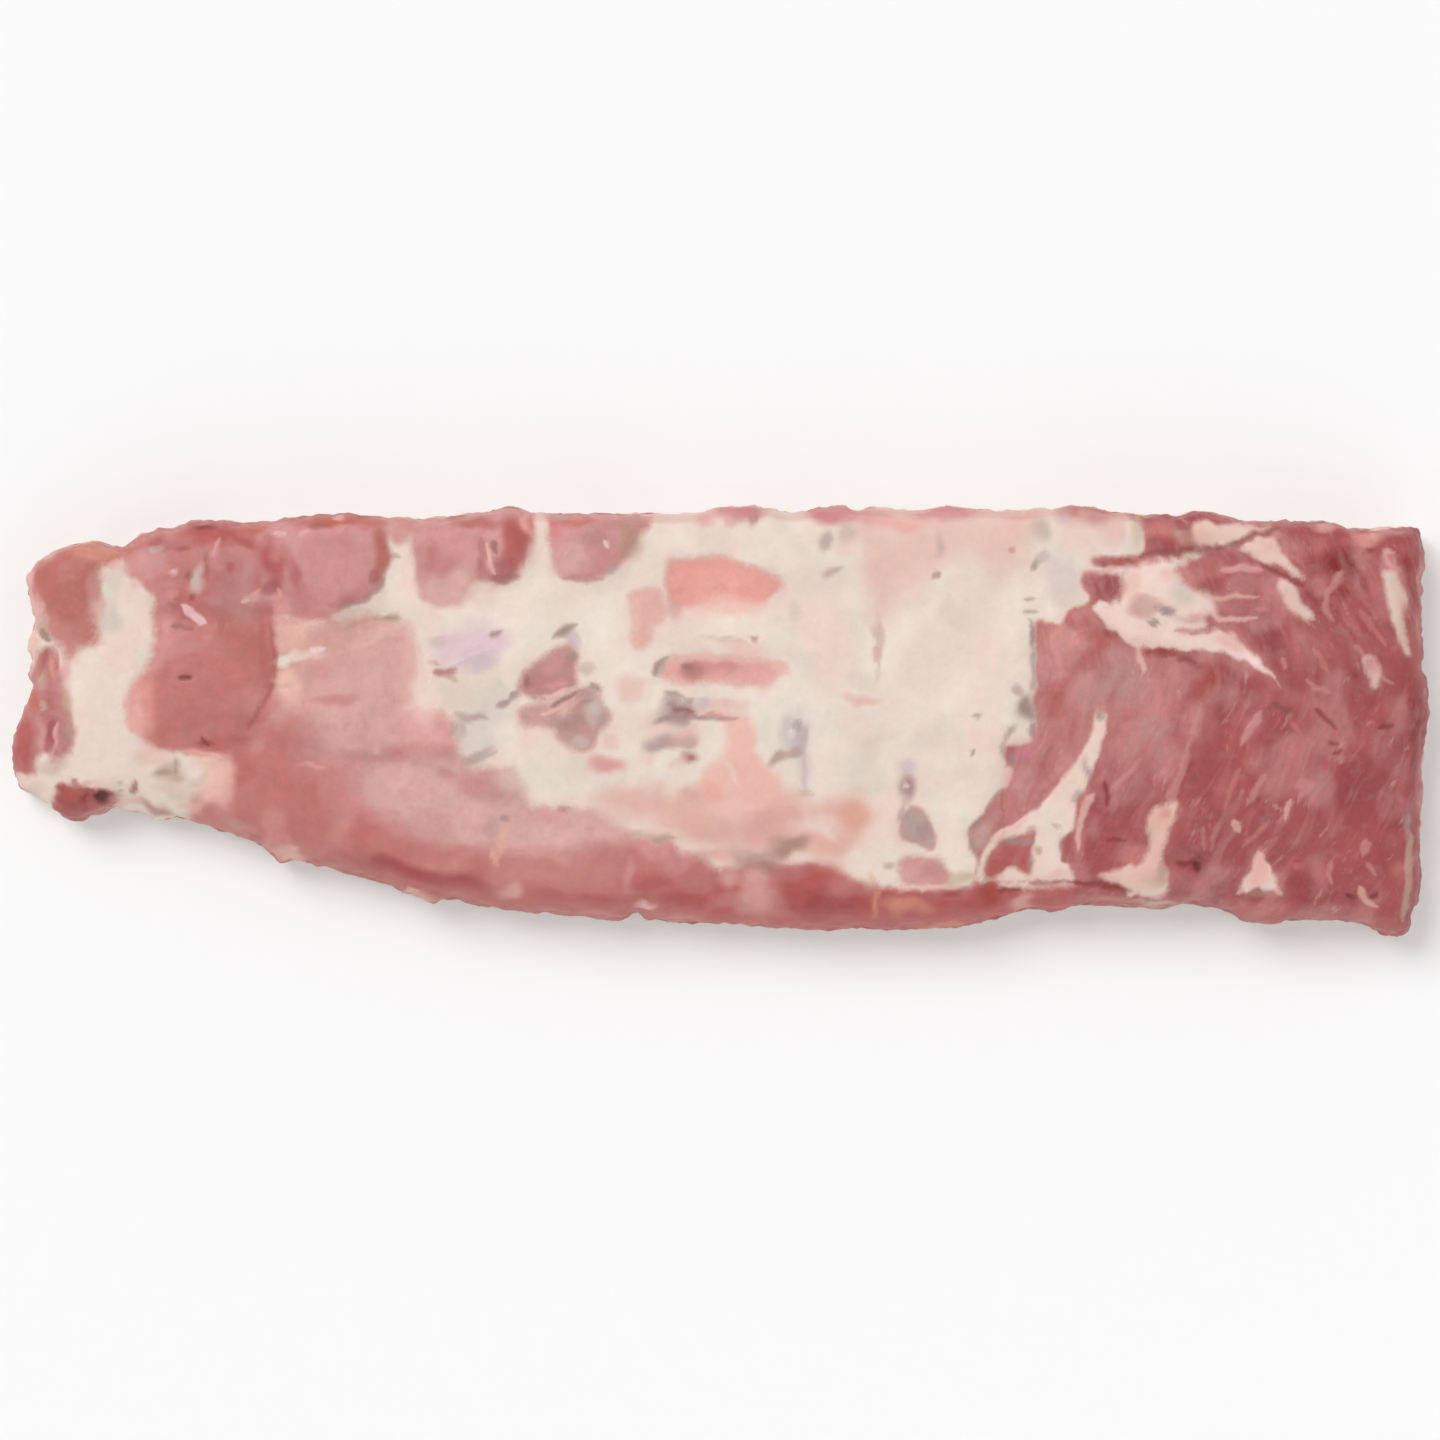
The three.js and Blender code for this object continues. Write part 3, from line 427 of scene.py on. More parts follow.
        (-72, 22, 6, 5, "rose", 0.4), (-63, 27, 3, 3, "greyMauve", 0.7), (-63, -2, 7, 4, "greyMauve", 0.4),
        (-64, 4.5, 6, 2.4, "rosyFat", 0.9, 25), (-53, 2, 4, 6, "greyFat", 0.5),
        (-54, 6, 5, 6, "greyFat", 0.6), (-59, -9.5, 5, 3, "greyFat", 0.6),
        (-46, -19.5, 9, 4.2, "rose", 0.95), (-38, 13, 7, 6, "rosyFat", 0.7)]),
    "rib windows and slits": ("both", [
        (4, 47, 20, 4.4, "lightSalmon", 0.85), (-19, 47, 4, 5, "peach", 0.7),
        (1, 33.3, 11, 1.6, "ash", 0.5, 2), (14.5, 34.5, 2, 1.8, "dusty", 0.8),
        (11, 31, 9, 4, "lightSalmon", 0.7), (-11.5, 21.5, 6, 4.8, "dusty", 0.5),
        (-11.5, 21.5, 5, 4, "brownMauve", 0.6), (-14, 23, 3, 2, "slit", 0.35),
        (-25.5, 22, 2.6, 4, "ash", 0.9, -30), (25, 22, 6, 3, "lightSalmon", 0.8),
        (2, 7, 12, 3, "rosyFat", 0.7), (-20, -4, 15, 8, "rosyFat", 0.5), (-19, 3.5, 10, 6, "ash", 0.8, 8),
        (-16, 3.4, 8, 4.6, "greyMauve", 1.0, 10), (-12.5, 2.4, 3.6, 2.4, "umber", 0.4),
        (-20, 7.6, 3.8, 1.8, "umber", 0.4, 25), (-21, 9.5, 5, 2.4, "ash", 0.7, 20),
        (-24, 0.5, 5, 1.8, "grey", 0.9, 15), (-8, 6.5, 4, 3, "lilacGrey", 0.6),
        (-2, 0.6, 11, 1.4, "mauve", 0.8), (-13, 8, 2.4, 1.8, "grey", 0.6),
        (-25, -8.5, 8, 4, "ash", 1.0, 20), (-19, -10, 5, 3, "greyRose", 0.7, 10),
        (-17, -5.5, 7, 2.4, "blush", 0.6, 20), (-13, -8.5, 6, 3.4, "greyRose", 0.85, 20),
        (-13, -16, 4.4, 3, "mauveDark", 0.8), (0, 25.6, 22, 1.6, "lightSalmon", 0.8),
        (-12.5, -15.8, 1.8, 1.4, "maroon", 0.35), (-18, -18.5, 5, 2.4, "rosyFat", 0.7, 20),
        (5.5, -22, 1.4, 8, "pinkFat", 0.6, 20), (18.5, -4, 4, 8, "greenGrey", 0.8),
        (-31, -16, 5, 4, "peachFat", 0.4)]),
    "peach ground": ("both", [
        (20, -63, 6, 4, "brownMauve", 0.6, 15), (14, -66, 5, 4, "rose", 0.6),
        (-2, -33, 5, 7, "salmon", 0.5, 20), (42, -46, 8, 2.6, "cream", 0.6, -35),
        (33, -40, 7, 3, "peach", 0.5, -20), (-12, -33, 6, 2.4, "peach", 0.5, -30),
        (8, -48, 22, 7, "peach", 0.5), (42, -44, 12, 6, "pinkFat", 0.6),
        (57, -39, 8, 6, "orange", 0.5, -20), (29, -53.5, 9, 5.4, "brownMauve", 0.9, 12),
        (18, -59, 12, 5, "brownMauve", 0.7, 10), (9, -57, 6, 3.4, "brownMauve", 0.5),
        (24, -50, 6, 2.4, "tan", 0.5, 20), (36, -59.5, 6, 2.4, "pinkFat", 0.8, -15),
        # the tan strips at (-24, -50.5) and (-34, -48.5) are painted shade along the near pad's border
        (58, -58, 8, 5, "cream", 0.6), (-24, -50.5, 7, 1.8, "tan", 0.8, -12),
        (-34, -48.5, 8, 2, "tan", 0.5), (-18, -24, 12, 6, "cream", 0.5)]),
    "lilac slit and the fat right of it": ("both", [
        (35.5, -13, 3.8, 19, "lilacGrey", 0.55, 3), (33, -2.5, 2.4, 3, "grey", 0.7, 20),
        (31, -5, 6, 8, "lilacGrey", 0.7, 10), (30, -6, 2.4, 3, "whiteFat", 0.5),
        (25.5, -16, 6, 3, "brownMauve", 0.7, 20), (32, -14, 4, 3, "ash", 0.8, 25),
        (37, -31, 3, 2, "tan", 0.5), (36, -7, 1.8, 5, "grey", 0.45, 5), (45, 76, 3.4, 5, "ash", 0.85, -20),
        (54, 79, 5, 4, "ash", 0.6, 30), (46, 63, 6, 2, "ash", 0.8), (32, 46, 3, 5, "greyFat", 0.6),
        (52, 73, 6, 5, "rosyFat", 0.4), (77, 83.5, 10, 4.4, "salmon", 1.0),
        (66, 32, 1.8, 16, "greyRose", 0.6, 3), (66, 28, 2, 4, "blush", 0.7),
        (61, 8, 9, 3, "rosyFat", 0.8, -8), (92.5, 61, 2.4, 2, "tanDark", 0.7), (93, 76, 3, 6, "ash", 0.5),
        (109, 2, 2.4, 1.4, "grey", 0.85), (107.5, -14, 1.6, 1.6, "grey", 0.85),
        (124, 72, 2, 1.8, "mauveDark", 0.5), (114, 20, 9, 30, "pinkFat", 0.5),
        (78, -26.5, 4.4, 7, "greyMauve", 1.0), (78.6, -27.5, 1.3, 1.8, "glint", 0.7),
        (79, -20, 5, 4, "lilacGrey", 0.6), (76, -38, 1.8, 6, "ash", 0.7),
        (88, -48, 4, 6, "greyMauve", 0.4, 30), (72, -62, 3, 2, "tan", 0.6),
        (102, -67.5, 7, 2.6, "oliveCream", 0.9), (90, -63, 6, 4, "duskyPink", 0.5)]),
    "rose bands at the far edge": ("both", [
        (6, 90.5, 15, 6, "rosePink", 1.0, 2), (-6, 85, 5, 4, "blush", 0.9, 30),
        (14, 86, 2, 5, "mauveDark", 0.8), (4, 84, 3, 3, "rose", 0.6), (48, 89, 16, 7.4, "rosePink", 1.0),
        (62, 87, 16, 4.4, "rose", 0.7, -3), (97, 90.5, 17, 7, "rosePink", 1.0),
        (157, 90, 18, 9, "dusty", 1.0, -3), (156, 90, 15, 6, "wine", 0.4, -3),
        (146, 86, 6, 4, "lilacGrey", 0.5)]),
    "step beside the band": ("both", [
        (137, 79, 5, 7, "ash", 0.6, 10), (133.5, 66, 1.8, 3, "grey", 0.8), (137, 69, 4, 3, "ash", 0.6, 30),
        (145, 62, 10, 9, "lilacGrey", 0.45), (146, 53, 9, 6, "greyFat", 0.7, 10),
        (152, 79, 12, 8, "rosyFat", 0.4), (166, 80, 7, 8, "rosyFat", 0.8),
        # the grey and ash strips near x 133, from (132.5, 37) down to (132.5, -4), are painted shade at the
        # foot of the step
        (176, 79, 3.4, 9, "oliveCream", 0.8), (132.5, 37, 1.6, 5, "grey", 0.8),
        (133, 22, 1.6, 12, "ash", 0.7), (129, 5, 4.8, 8, "grey", 1.0, 8), (126, 13, 3, 3, "ash", 0.8),
        (132.5, -4, 1.8, 3.4, "greyMauve", 0.9), (122.5, -6, 1.8, 5, "ash", 0.9, -25),
        (120, -12, 1.8, 3, "ash", 0.7), (122, -24, 2.4, 5, "rosyFat", 0.8, -15),
        (117, -32, 2, 7, "ash", 0.75, -40), (108.5, -44, 2, 5, "grey", 0.8, -35),
        (107, -52, 1.6, 6, "grey", 0.8, 10), (163, 63.5, 9, 1.4, "rose", 0.6)]),
    "left of the thick muscle": ("lean", [
        (146, 34, 7, 7, "salmon", 0.4), (152, 35, 2.6, 4.5, "salmon", 0.35, 25),
        (151, 43, 6, 5, "red", 0.85, 15), (162, 35, 8, 5, "brick", 0.7, -20),
        (166, 36.5, 4, 2.4, "maroon", 0.5, -40), (155.5, 24.5, 11, 4.5, "deep", 0.6, 38),
        (140, 22, 7, 10, "mauve", 0.7), (142, 6, 8, 7, "red", 0.45), (158, 12, 7, 12, "duskyPink", 0.75),
        (171, 18, 12, 12, "duskyPink", 0.9), (129, -14, 7, 3, "rosePink", 0.85, 20),
        (123.5, -17, 2.4, 3, "greyMauve", 0.8), (129, -28, 6, 9, "mauve", 0.75, -20),
        (120, -35, 8, 5, "dusty", 0.7, 50), (111, -48, 4.5, 8, "greyRose", 0.9, -15),
        (184, -4, 7, 7, "duskyPink", 0.8), (162, -21, 4, 7, "rosePink", 0.4, -15),
        (176, -28, 9, 8, "mauveDark", 0.6), (164, -31, 2, 6, "deep", 0.6, 10),
        (158, -45, 4, 7, "mauveDark", 0.7, 10), (174, -55.5, 6, 4.4, "brightRed", 0.85),
        (153, -52, 3, 8, "mauve", 0.5), (167, -36, 3, 4, "clay", 0.5, -20),
        (188, -20, 4, 8, "mauve", 0.4, -15)]),
    "patch between the strands": ("lean", [
        (127, -50, 7, 2, "greyMauve", 0.95, 5), (132.5, -57, 1.8, 8, "greyMauve", 0.9)]),
    "strands of the thick muscle": ("fat", [
        # the ash strip at (158, -25) and the grey patch at (147.5, -54) are painted shade beside the long
        # strand
        (161.5, 2, 2.4, 3, "grey", 0.8), (158, -25, 2.4, 9, "ash", 0.95, 22), (152, -33, 3, 3, "ash", 0.7),
        (147.5, -54, 4.4, 6, "grey", 0.95, 10), (143, -45, 2, 1.8, "grey", 0.6),
        (135, -55, 2, 2.4, "tan", 0.8), (132, -47, 2.4, 2.4, "tan", 0.6),
        (144, -66, 7, 2.4, "rosyFat", 0.8), (187, -42, 7, 6, "haze", 0.9), (189, -39, 3, 3, "clay", 0.5),
        (178, -68, 8, 5, "peachFat", 0.7), (184, -55, 5, 6, "peachFat", 0.5),
        # the tan patches at (187, -66) and (185, -67) are painted shadow at the foot of the middle strand
        (187, -66, 2.6, 5, "tan", 0.6), (182.5, -49, 2, 4, "tan", 0.5), (226, 26, 6, 3, "glint", 0.7, -35),
        (185, -67, 6, 5, "tan", 0.4), (217, 33, 7, 4, "rosyFat", 0.9, -20),
        (229, -63, 5, 8, "salmon", 0.6)]),
    "membrane": ("fat", [
        (175, 57, 5, 7, "peachFat", 0.7), (180, 51.5, 8, 1.4, "rosyFat", 0.9),
        (180, 47.5, 9, 4.4, "tanRose", 0.75), (190.5, 46.3, 4, 2.8, "greyMauve", 1.0, -8),
        (184, 41.5, 3, 2, "grey", 0.9), (186, 47.5, 3, 2, "grey", 0.5), (195, 54, 6, 6, "greyFat", 0.7),
        (202, 43, 5, 3, "rose", 0.7), (190, 62, 5, 4, "rosyFat", 0.7),
        (199, 70, 5, 1.4, "oliveCream", 0.9, 10), (197, 42, 6, 2, "ash", 0.5)]),
    "lean at the top right": ("lean", [
        (163, 57, 6.5, 6, "wine", 0.5), (157, 58, 3, 5, "mauveDark", 0.7),
        (186, 80, 8, 6, "brightRed", 0.75), (198, 79, 7, 4.6, "tanRose", 1.0),
        (197, 82.5, 7, 1.6, "umber", 0.5), (205, 88, 9, 2.4, "wine", 0.8), (209, 65, 8, 5, "dusty", 0.7),
        (199, 61, 6, 6, "clay", 0.85), (209, 55, 5, 2, "umber", 0.5), (222, 57, 12, 4, "mauveDark", 0.65),
        (223, 63.6, 9, 1.8, "rose", 0.9), (188, 28, 8, 2, "wine", 0.7), (200, 25, 7, 2, "wine", 0.6, -8),
        (207, 16, 4.4, 9, "russet", 0.6), (243, 71, 7, 7, "dusty", 0.6), (254, 75, 5, 6, "dusty", 0.8),
        (264, 66, 8, 9, "maroon", 1.0, -15), (265, 56, 4, 5, "maroon", 0.6),
        (273, 70, 6, 8, "dusty", 0.8, 10), (275, 77, 8, 4.4, "salmon", 0.65),
        (275.5, 72, 2.4, 1.4, "maroon", 0.6), (295, 63, 4.4, 22, "deep", 1.0),
        (291.5, 65, 1.6, 8, "maroon", 0.6), (298.5, 58, 1.8, 18, "clay", 0.7),
        (284, 69, 3.4, 4, "rosyFat", 0.85, 20), (286, 64, 3, 2.4, "rosyFat", 0.8),
        (278, 60, 4, 8, "brightRed", 0.5), (232, 36, 8, 4, "wine", 0.4, -20),
        (250, 31, 13, 9, "dusty", 0.45), (252, 53, 5, 4, "wine", 0.6), (226, 41, 8, 3, "mauveDark", 0.5),
        (262, 60, 3, 3, "clay", 0.7), (254, 57, 5, 5, "rose", 0.5), (151, 44, 5, 4, "rose", 0.4),
        (285, 69, 1.6, 2, "red", 0.7), (285, 64, 4, 6, "rosePink", 0.5), (257, 82, 5, 2.4, "blush", 0.6)]),
    "body of the thick muscle": ("lean", [
        (198, -68, 10, 5, "dusty", 0.75), (243, -18, 10, 11, "dusty", 0.6, -10),
        (248, -27, 5, 3, "clay", 0.7), (226, -2, 6, 8, "mauveDark", 0.55, -20),
        (229, -14, 5, 5, "mauveDark", 0.4), (247, -70, 8, 10, "wine", 0.9), (270, -28, 9, 22, "wine", 0.55),
        (285, -15, 7, 16, "wine", 0.5), (295, 2, 5, 18, "wine", 1.0), (297, -24, 1.8, 12, "rosePink", 0.5),
        (228, -79, 14, 5, "dusty", 0.8), (256, -82, 16, 3, "mauveDark", 0.4),
        (288, -37, 2.6, 6, "rosePink", 0.5), (282, -56, 5, 12, "wine", 0.35),
        (262, -12, 5, 7, "dusty", 0.5), (263.5, -17, 2, 2.4, "clay", 0.6), (240, 10, 12, 6, "dusty", 0.3),
        (204, -3, 7, 9, "dusty", 0.55, -20), (202.5, -60, 5, 4, "maroon", 0.5, -30),
        (287, -62, 4, 6, "dusty", 0.5), (291, 20, 5, 12, "wine", 0.4), (291, -44, 1.8, 9, "greyMauve", 0.9),
        (218, 8, 5, 9, "dusty", 0.4, -10), (214, -28, 3, 9, "dusty", 0.4, -15),
        (245, -62, 3, 2, "dusty", 0.7), (190, -16, 7, 12, "mauve", 0.55, -20),
        (201, 0, 6, 10, "mauve", 0.5, -15), (146, -19, 6, 8, "rose", 0.5, 30),
        (276, 18, 10, 14, "maroon", 0.45), (283, -37, 7, 12, "wine", 0.6), (144, 13, 5, 6, "red", 0.5),
        (228, 33, 8, 4, "wine", 0.4, -30), (232, -28, 5, 4, "dusty", 0.5, 30)]),
}

# Thin marks: tone, width at the start and the end in mm, how far they stand out, points
marks = {
    "left end": [
        ("deep", 2.0, 1.4, -0.6, [(-283.5, 0), (-285, -6), (-286, -14)]),
        ("blush", 1.8, 1.2, 0.3, [(-281.5, -1), (-282, -10), (-284, -18)]),
        ("orange", 2.0, 1.2, 0.3, [(-284.5, 27), (-284, 21), (-283, 17)]),
        ("brick", 2.0, 1.2, -0.4, [(-286, 29), (-287.5, 24), (-288.5, 19)]),
        ("rust", 1.6, 1.0, -0.3, [(-281.5, 27), (-281, 21)]),
        ("tanDark", 2.0, 1.2, -0.4, [(-287.5, 39), (-285.5, 33)]),
        # near black in the tag's hole: painted shade of its depth, over a shallow carved dip
        ("hole", 4.0, 3.0, -1.6, [(-264.5, -32.4), (-259.5, -33.4)]),
        ("deep", 2.8, 1.8, -0.7, [(-275, -25.5), (-271, -29.5)])],
    "round muscle and first lobe": [
        ("maroon", 1.1, 0.9, -0.3, [(-229.5, 18.5), (-224.5, 18.3)]),
        ("maroon", 1.6, 1.2, -0.6, [(-219.5, -7.5), (-217.5, -11)]),
        ("salmon", 1.6, 1.0, 0.2, [(-228, -13.5), (-219, -14.5), (-210, -17)]),
        ("glint", 4.2, 3.0, 0.7, [(-228, 47.8), (-223, 44.3), (-218, 41)]),
        ("umber", 1.4, 1.0, -0.4, [(-232, 39.7), (-223.5, 39)]),
        ("mauveDark", 1.6, 1.0, -0.5, [(-234, 50), (-230, 46)]),
        ("maroon", 1.2, 0.8, -0.3, [(-223, 82), (-213, 82.3)]),
        # this rose line is a painted highlight, standing a little proud
        ("rose", 1.6, 1.0, 0.3, [(-215, 69), (-214, 73), (-213, 77)]),
        # these three brick lines paint the shade in the crease along the round muscle's right edge, over a
        # shallow carved groove
        ("brick", 1.4, 1.2, -0.5, [(-190.5, 40), (-189, 28), (-189.5, 18)]),
        ("brick", 1.4, 1.2, -0.5, [(-190, 16), (-192, 9), (-195, 3)]),
        ("brick", 1.6, 1.0, -0.5, [(-195, 6), (-197, 1), (-200, -4)]),
        ("lightSalmon", 1.8, 1.2, 0.4, [(-203, 49.5), (-199.5, 50.5)]),
        ("salmon", 1.8, 1.2, 0.4, [(-197.5, 53), (-194.5, 56)]),
        ("salmon", 1.8, 1.2, 0.4, [(-187.5, 56), (-186, 51.5)]),
        ("rose", 2.0, 1.2, 0.3, [(-189, 46), (-185, 43)])],
    "rib lobes": [
        # these two grey-mauve lines are painted shade under the lower edge of lobe two, over a shallow
        # carved groove
        ("greyMauve", 2.2, 1.6, -0.5, [(-151, 50.5), (-146, 54), (-142, 60)]),
        ("greyMauve", 1.8, 1.2, -0.4, [(-160, 48.3), (-151, 50)]),
        ("mauveDark", 2.4, 1.6, -0.6, [(-101, 77), (-101.5, 68), (-98, 59)]),
        ("lightSalmon", 2.0, 1.4, 0.5, [(-98.5, 75), (-97.5, 67), (-95.5, 61)]),
        ("umber", 2.2, 1.4, -0.6, [(-96.5, 75.5), (-94.5, 70)]),
        # this line is painted shade under the lower edge of lobe three, over a shallow carved groove
        ("mauveDark", 2.0, 1.4, -0.5, [(-97, 58.8), (-92, 58.4), (-85, 61.5)]),
        ("glint", 1.1, 0.8, 0.3, [(-49, 76), (-47, 73)]),
        # this line is painted shadow under the lower edge of lobe four, over a shallow carved groove
        ("duskyPink", 1.6, 1.2, -0.3, [(-66, 60.5), (-58, 58.8), (-50, 60)])],
    "patches and films of the middle": [
        ("mauveDark", 1.8, 1.2, -0.4, [(-121, 20.6), (-111, 21.8)]),
        ("lilac", 1.8, 1.2, 0.3, [(-116, 22.5), (-106, 26.5), (-97, 31)]),
        ("grey", 1.4, 1.0, -0.4, [(-97, 35.5), (-93, 38)]),
        ("grey", 2.0, 1.4, -0.5, [(-71, 34.8), (-66, 37.8), (-60, 40.5)]),
        ("rosyFat", 2.2, 1.6, 0.5, [(-84, 6.5), (-77, 7.5), (-70, 10.5), (-61, 14.5)]),
        ("rosyFat", 2.0, 1.4, 0.5, [(-76, 2), (-69, 5), (-61, 9.5)]),
        ("umber", 1.8, 1.2, -0.5, [(-71, 6.2), (-65, 8.8), (-60.5, 11.2)]),
        ("greyMauve", 1.6, 1.2, -0.4, [(-80, 9.6), (-74, 8.6)]),
        ("grey", 1.8, 1.2, -0.3, [(-54.5, 15.5), (-51.5, 12.5)]),
        ("greyMauve", 1.6, 1.0, -0.3, [(-59, 7), (-54, 8.5)]),
        ("grey", 1.4, 1.0, -0.3, [(-94, 6.4), (-89.5, 8), (-86, 12)]),
        ("ash", 1.8, 1.2, -0.3, [(-112, 2.5), (-104, 1), (-98, 0.5)]),
        ("ash", 1.8, 1.2, -0.3, [(-108, -19), (-101, -16.5), (-94, -13.5)]),
        ("greyMauve", 2.0, 1.0, -0.3, [(-14, 1.5), (-6, 0.6), (8, 0.3)]),
        ("grey", 1.6, 1.0, -0.3, [(-24, 11.5), (-19, 11), (-15, 9)]),
        ("grey", 1.8, 1.2, -0.4, [(-27.5, 19.5), (-26, 23.5), (-22, 26.3)]),
        ("glint", 1.1, 0.8, 0.3, [(-29, 23.5), (-27, 26.4)]),
        ("umber", 1.4, 1.0, -0.3, [(-20, 5), (-15, 4), (-11, 2.5)]),
        ("lilacGrey", 1.8, 1.2, -0.3, [(34.6, -3), (35.6, -14), (36.4, -30)]),
        ("grey", 1.6, 1.0, -0.3, [(129.5, 51), (134, 51.2)]),
        ("grey", 1.6, 1.0, -0.3, [(129, 45.5), (134.5, 45.8)])],
    "step and near edge": [
        # these grey and ash lines at x 133 are painted shade at the foot of the step, over a shallow carved
        # groove
        ("grey", 1.8, 1.4, -0.5, [(132.4, 42), (132.6, 36), (132.8, 31)]),
        ("ash", 1.6, 1.2, -0.5, [(133, 30), (133, 20), (132.8, 13)]),
        ("maroon", 2.4, 1.4, -0.7, [(118.5, -72.5), (123, -72.8), (127, -72)]),
        ("lightSalmon", 1.4, 1.0, 0.2, [(84, -71), (96, -71)]),
        ("deep", 1.8, 1.2, -0.4, [(132, -69.6), (140, -69.4), (148, -68.6)]),
        ("maroon", 2.4, 1.6, -0.5, [(150, -69.3), (160, -70), (168, -71.3), (175, -73)]),
        ("maroon", 1.4, 1.0, -0.3, [(164.5, -51.6), (172, -50.8)])],
    "strands of the thick muscle": [
        ("rosyFat", 3.0, 2.0, 0.4, [(158.5, -31), (154.8, -37), (152.3, -45), (152, -55)]),
        ("lightSalmon", 2.0, 1.4, 0.4, [(118, -49.8), (124, -45.8), (130, -41.6)]),
        ("clay", 2.4, 1.4, 0.4, [(167.5, -30), (171, -25), (175, -21), (179.5, -16.5)]),
        ("clay", 5.0, 1.6, 0.5, [(190, -36), (192.5, -29), (195, -24), (197, -18), (199.5, -10)]),
        ("clay", 2.8, 1.4, 0.3, [(200.5, -8), (203.5, 0), (205, 7)]),
        ("rosyFat", 2.6, 1.6, 0.4, [(177.5, 31), (178.3, 25), (180.5, 20)]),
        ("rose", 2.4, 1.4, 0.3, [(213, 63.2), (221, 63.8), (230, 63)]),
        ("haze", 1.8, 1.0, 0.3, [(209, 51.3), (219, 52.5), (229, 52)]),
        ("rosyFat", 2.4, 1.2, 0.4, [(208, 46), (212, 42.8), (220, 42.6), (228, 43.5)]),
        ("clay", 1.8, 1.0, 0.3, [(227, 46.8), (234, 46.2)]),
        ("clay", 2.8, 1.6, 0.4, [(263.5, 63), (261, 58), (257.5, 54), (257, 47), (260, 41.5)]),
        ("dusty", 2.8, 1.6, 0.4, [(272, 46), (277, 39), (283, 31.5)]),
        ("dusty", 2.6, 1.6, 0.4, [(252.5, 30), (255.5, 25), (258.5, 19.5)]),
        ("clay", 2.2, 1.2, 0.3, [(269.5, 31.5), (273, 27.5)]),
        ("clay", 1.8, 1.0, 0.3, [(280.5, 18.5), (285.5, 15)]),
        ("clay", 2.6, 1.8, 0.4, [(249.5, 17), (252, 13.5), (259.5, 12)]),
        ("mauve", 3.4, 2.0, 0.4, [(230, 3), (225.5, -3), (221, -11)]),
        ("dusty", 2.8, 1.6, 0.3, [(220.5, -21), (218, -28), (214, -38)]),
        ("clay", 2.8, 1.8, 0.5, [(231.5, -23.5), (228, -29), (223, -36.5)]),
        ("haze", 3.8, 3.0, 0.5, [(218.2, -42.8), (220.2, -47.4)]),
        ("dusty", 2.0, 1.2, 0.3, [(231.5, -45), (227, -49), (222, -54)]),
        ("haze", 2.6, 1.8, 0.4, [(242, -34), (240, -39), (239.8, -43)]),
        ("clay", 2.6, 2.0, 0.3, [(234.3, -37), (236.8, -37.6)]),
        ("clay", 3.0, 1.6, 0.3, [(252, -26.5), (248, -31), (245, -36)]),
        ("dusty", 1.8, 1.2, 0.3, [(255.5, -29), (250.5, -36)]),
        ("clay", 2.4, 1.6, 0.4, [(259.5, -60), (257.8, -65), (260, -70)]),
        ("clay", 4.4, 2.6, 0.4, [(275, -51), (273.2, -57.5)]),
        ("clay", 1.8, 1.2, 0.3, [(274.5, -60.5), (278.5, -65.5)]),
        ("haze", 3.0, 2.0, 0.4, [(271.5, -71), (274, -77), (279, -79)]),
        ("dusty", 2.0, 1.2, 0.3, [(242, -1), (245, -5), (248, -9)]),
        ("mauveDark", 2.2, 1.4, 0.3, [(205, -45.5), (205.5, -55.5)]),
        ("mauveDark", 2.0, 1.4, 0.3, [(211.5, -43), (209.8, -49), (208.3, -56)]),
        ("clay", 1.8, 1.2, 0.3, [(238.5, 26), (239.5, 21)]),
        ("olive", 2.8, 2.2, 0.5, [(292.6, -48), (292.4, -62), (291.6, -76), (289.5, -85)]),
        ("rosyFat", 2.2, 1.4, 0.4, [(219, -73.4), (222, -71.5)]),
        ("rosyFat", 2.2, 1.4, 0.4, [(235, -71.2), (238.6, -74.6)])],
    "slits of the thick muscle": [
        ("umber", 2.2, 1.6, -0.6, [(178.5, 69.2), (188, 71.2), (200, 72.2), (210, 72.6), (220, 75.3),
            (228, 79.5), (238, 82)]),
        ("maroon", 2.2, 1.4, -0.6, [(230, 65), (236, 62.5), (242, 60), (248, 56.8)]),
        ("mauveDark", 2.0, 1.4, -0.4, [(193, 38.4), (202, 37.6), (212, 38.6)]),
        # the hole marks here, at (201, -60.5), (266, -74.6) and (276.5, -75.2), paint the shade of their
        # depth over shallow carved dips
        ("hole", 2.6, 2.0, -1.0, [(201, -60.5), (203, -63.8)]),
        ("maroon", 1.8, 1.2, -0.5, [(193, -60), (197, -61.2), (201, -60.6)]),
        ("tanDark", 2.2, 1.8, -0.4, [(224, -73), (234, -73)]),
        ("hole", 2.0, 1.2, -0.4, [(266, -74.6), (270, -75.6)]),
        ("hole", 2.2, 1.4, -0.4, [(276.5, -75.2), (279.5, -73.6)]),
        ("umber", 2.2, 1.2, -0.4, [(235, 7), (238, 4.5), (242, 2)]),
        ("maroon", 1.8, 1.2, -0.4, [(253, 5), (256.5, 1), (261, -3.5)]),
        ("maroon", 1.6, 1.2, -0.4, [(258.5, -9.8), (263, -10.5)]),
        ("maroon", 1.6, 1.2, -0.4, [(260.5, -14.6), (264, -13)]),
        ("maroon", 2.2, 1.4, -0.4, [(280.5, -3.6), (286, -2.4)]),
        ("wine", 2.0, 1.2, -0.4, [(181, 28.8), (187, 29), (193, 27.6)]),
        ("wine", 2.0, 1.2, -0.3, [(194, 25.6), (202, 24.4)]),
        ("maroon", 1.6, 1.0, -0.3, [(163.6, -26), (164.4, -32), (163.8, -37)])],
}

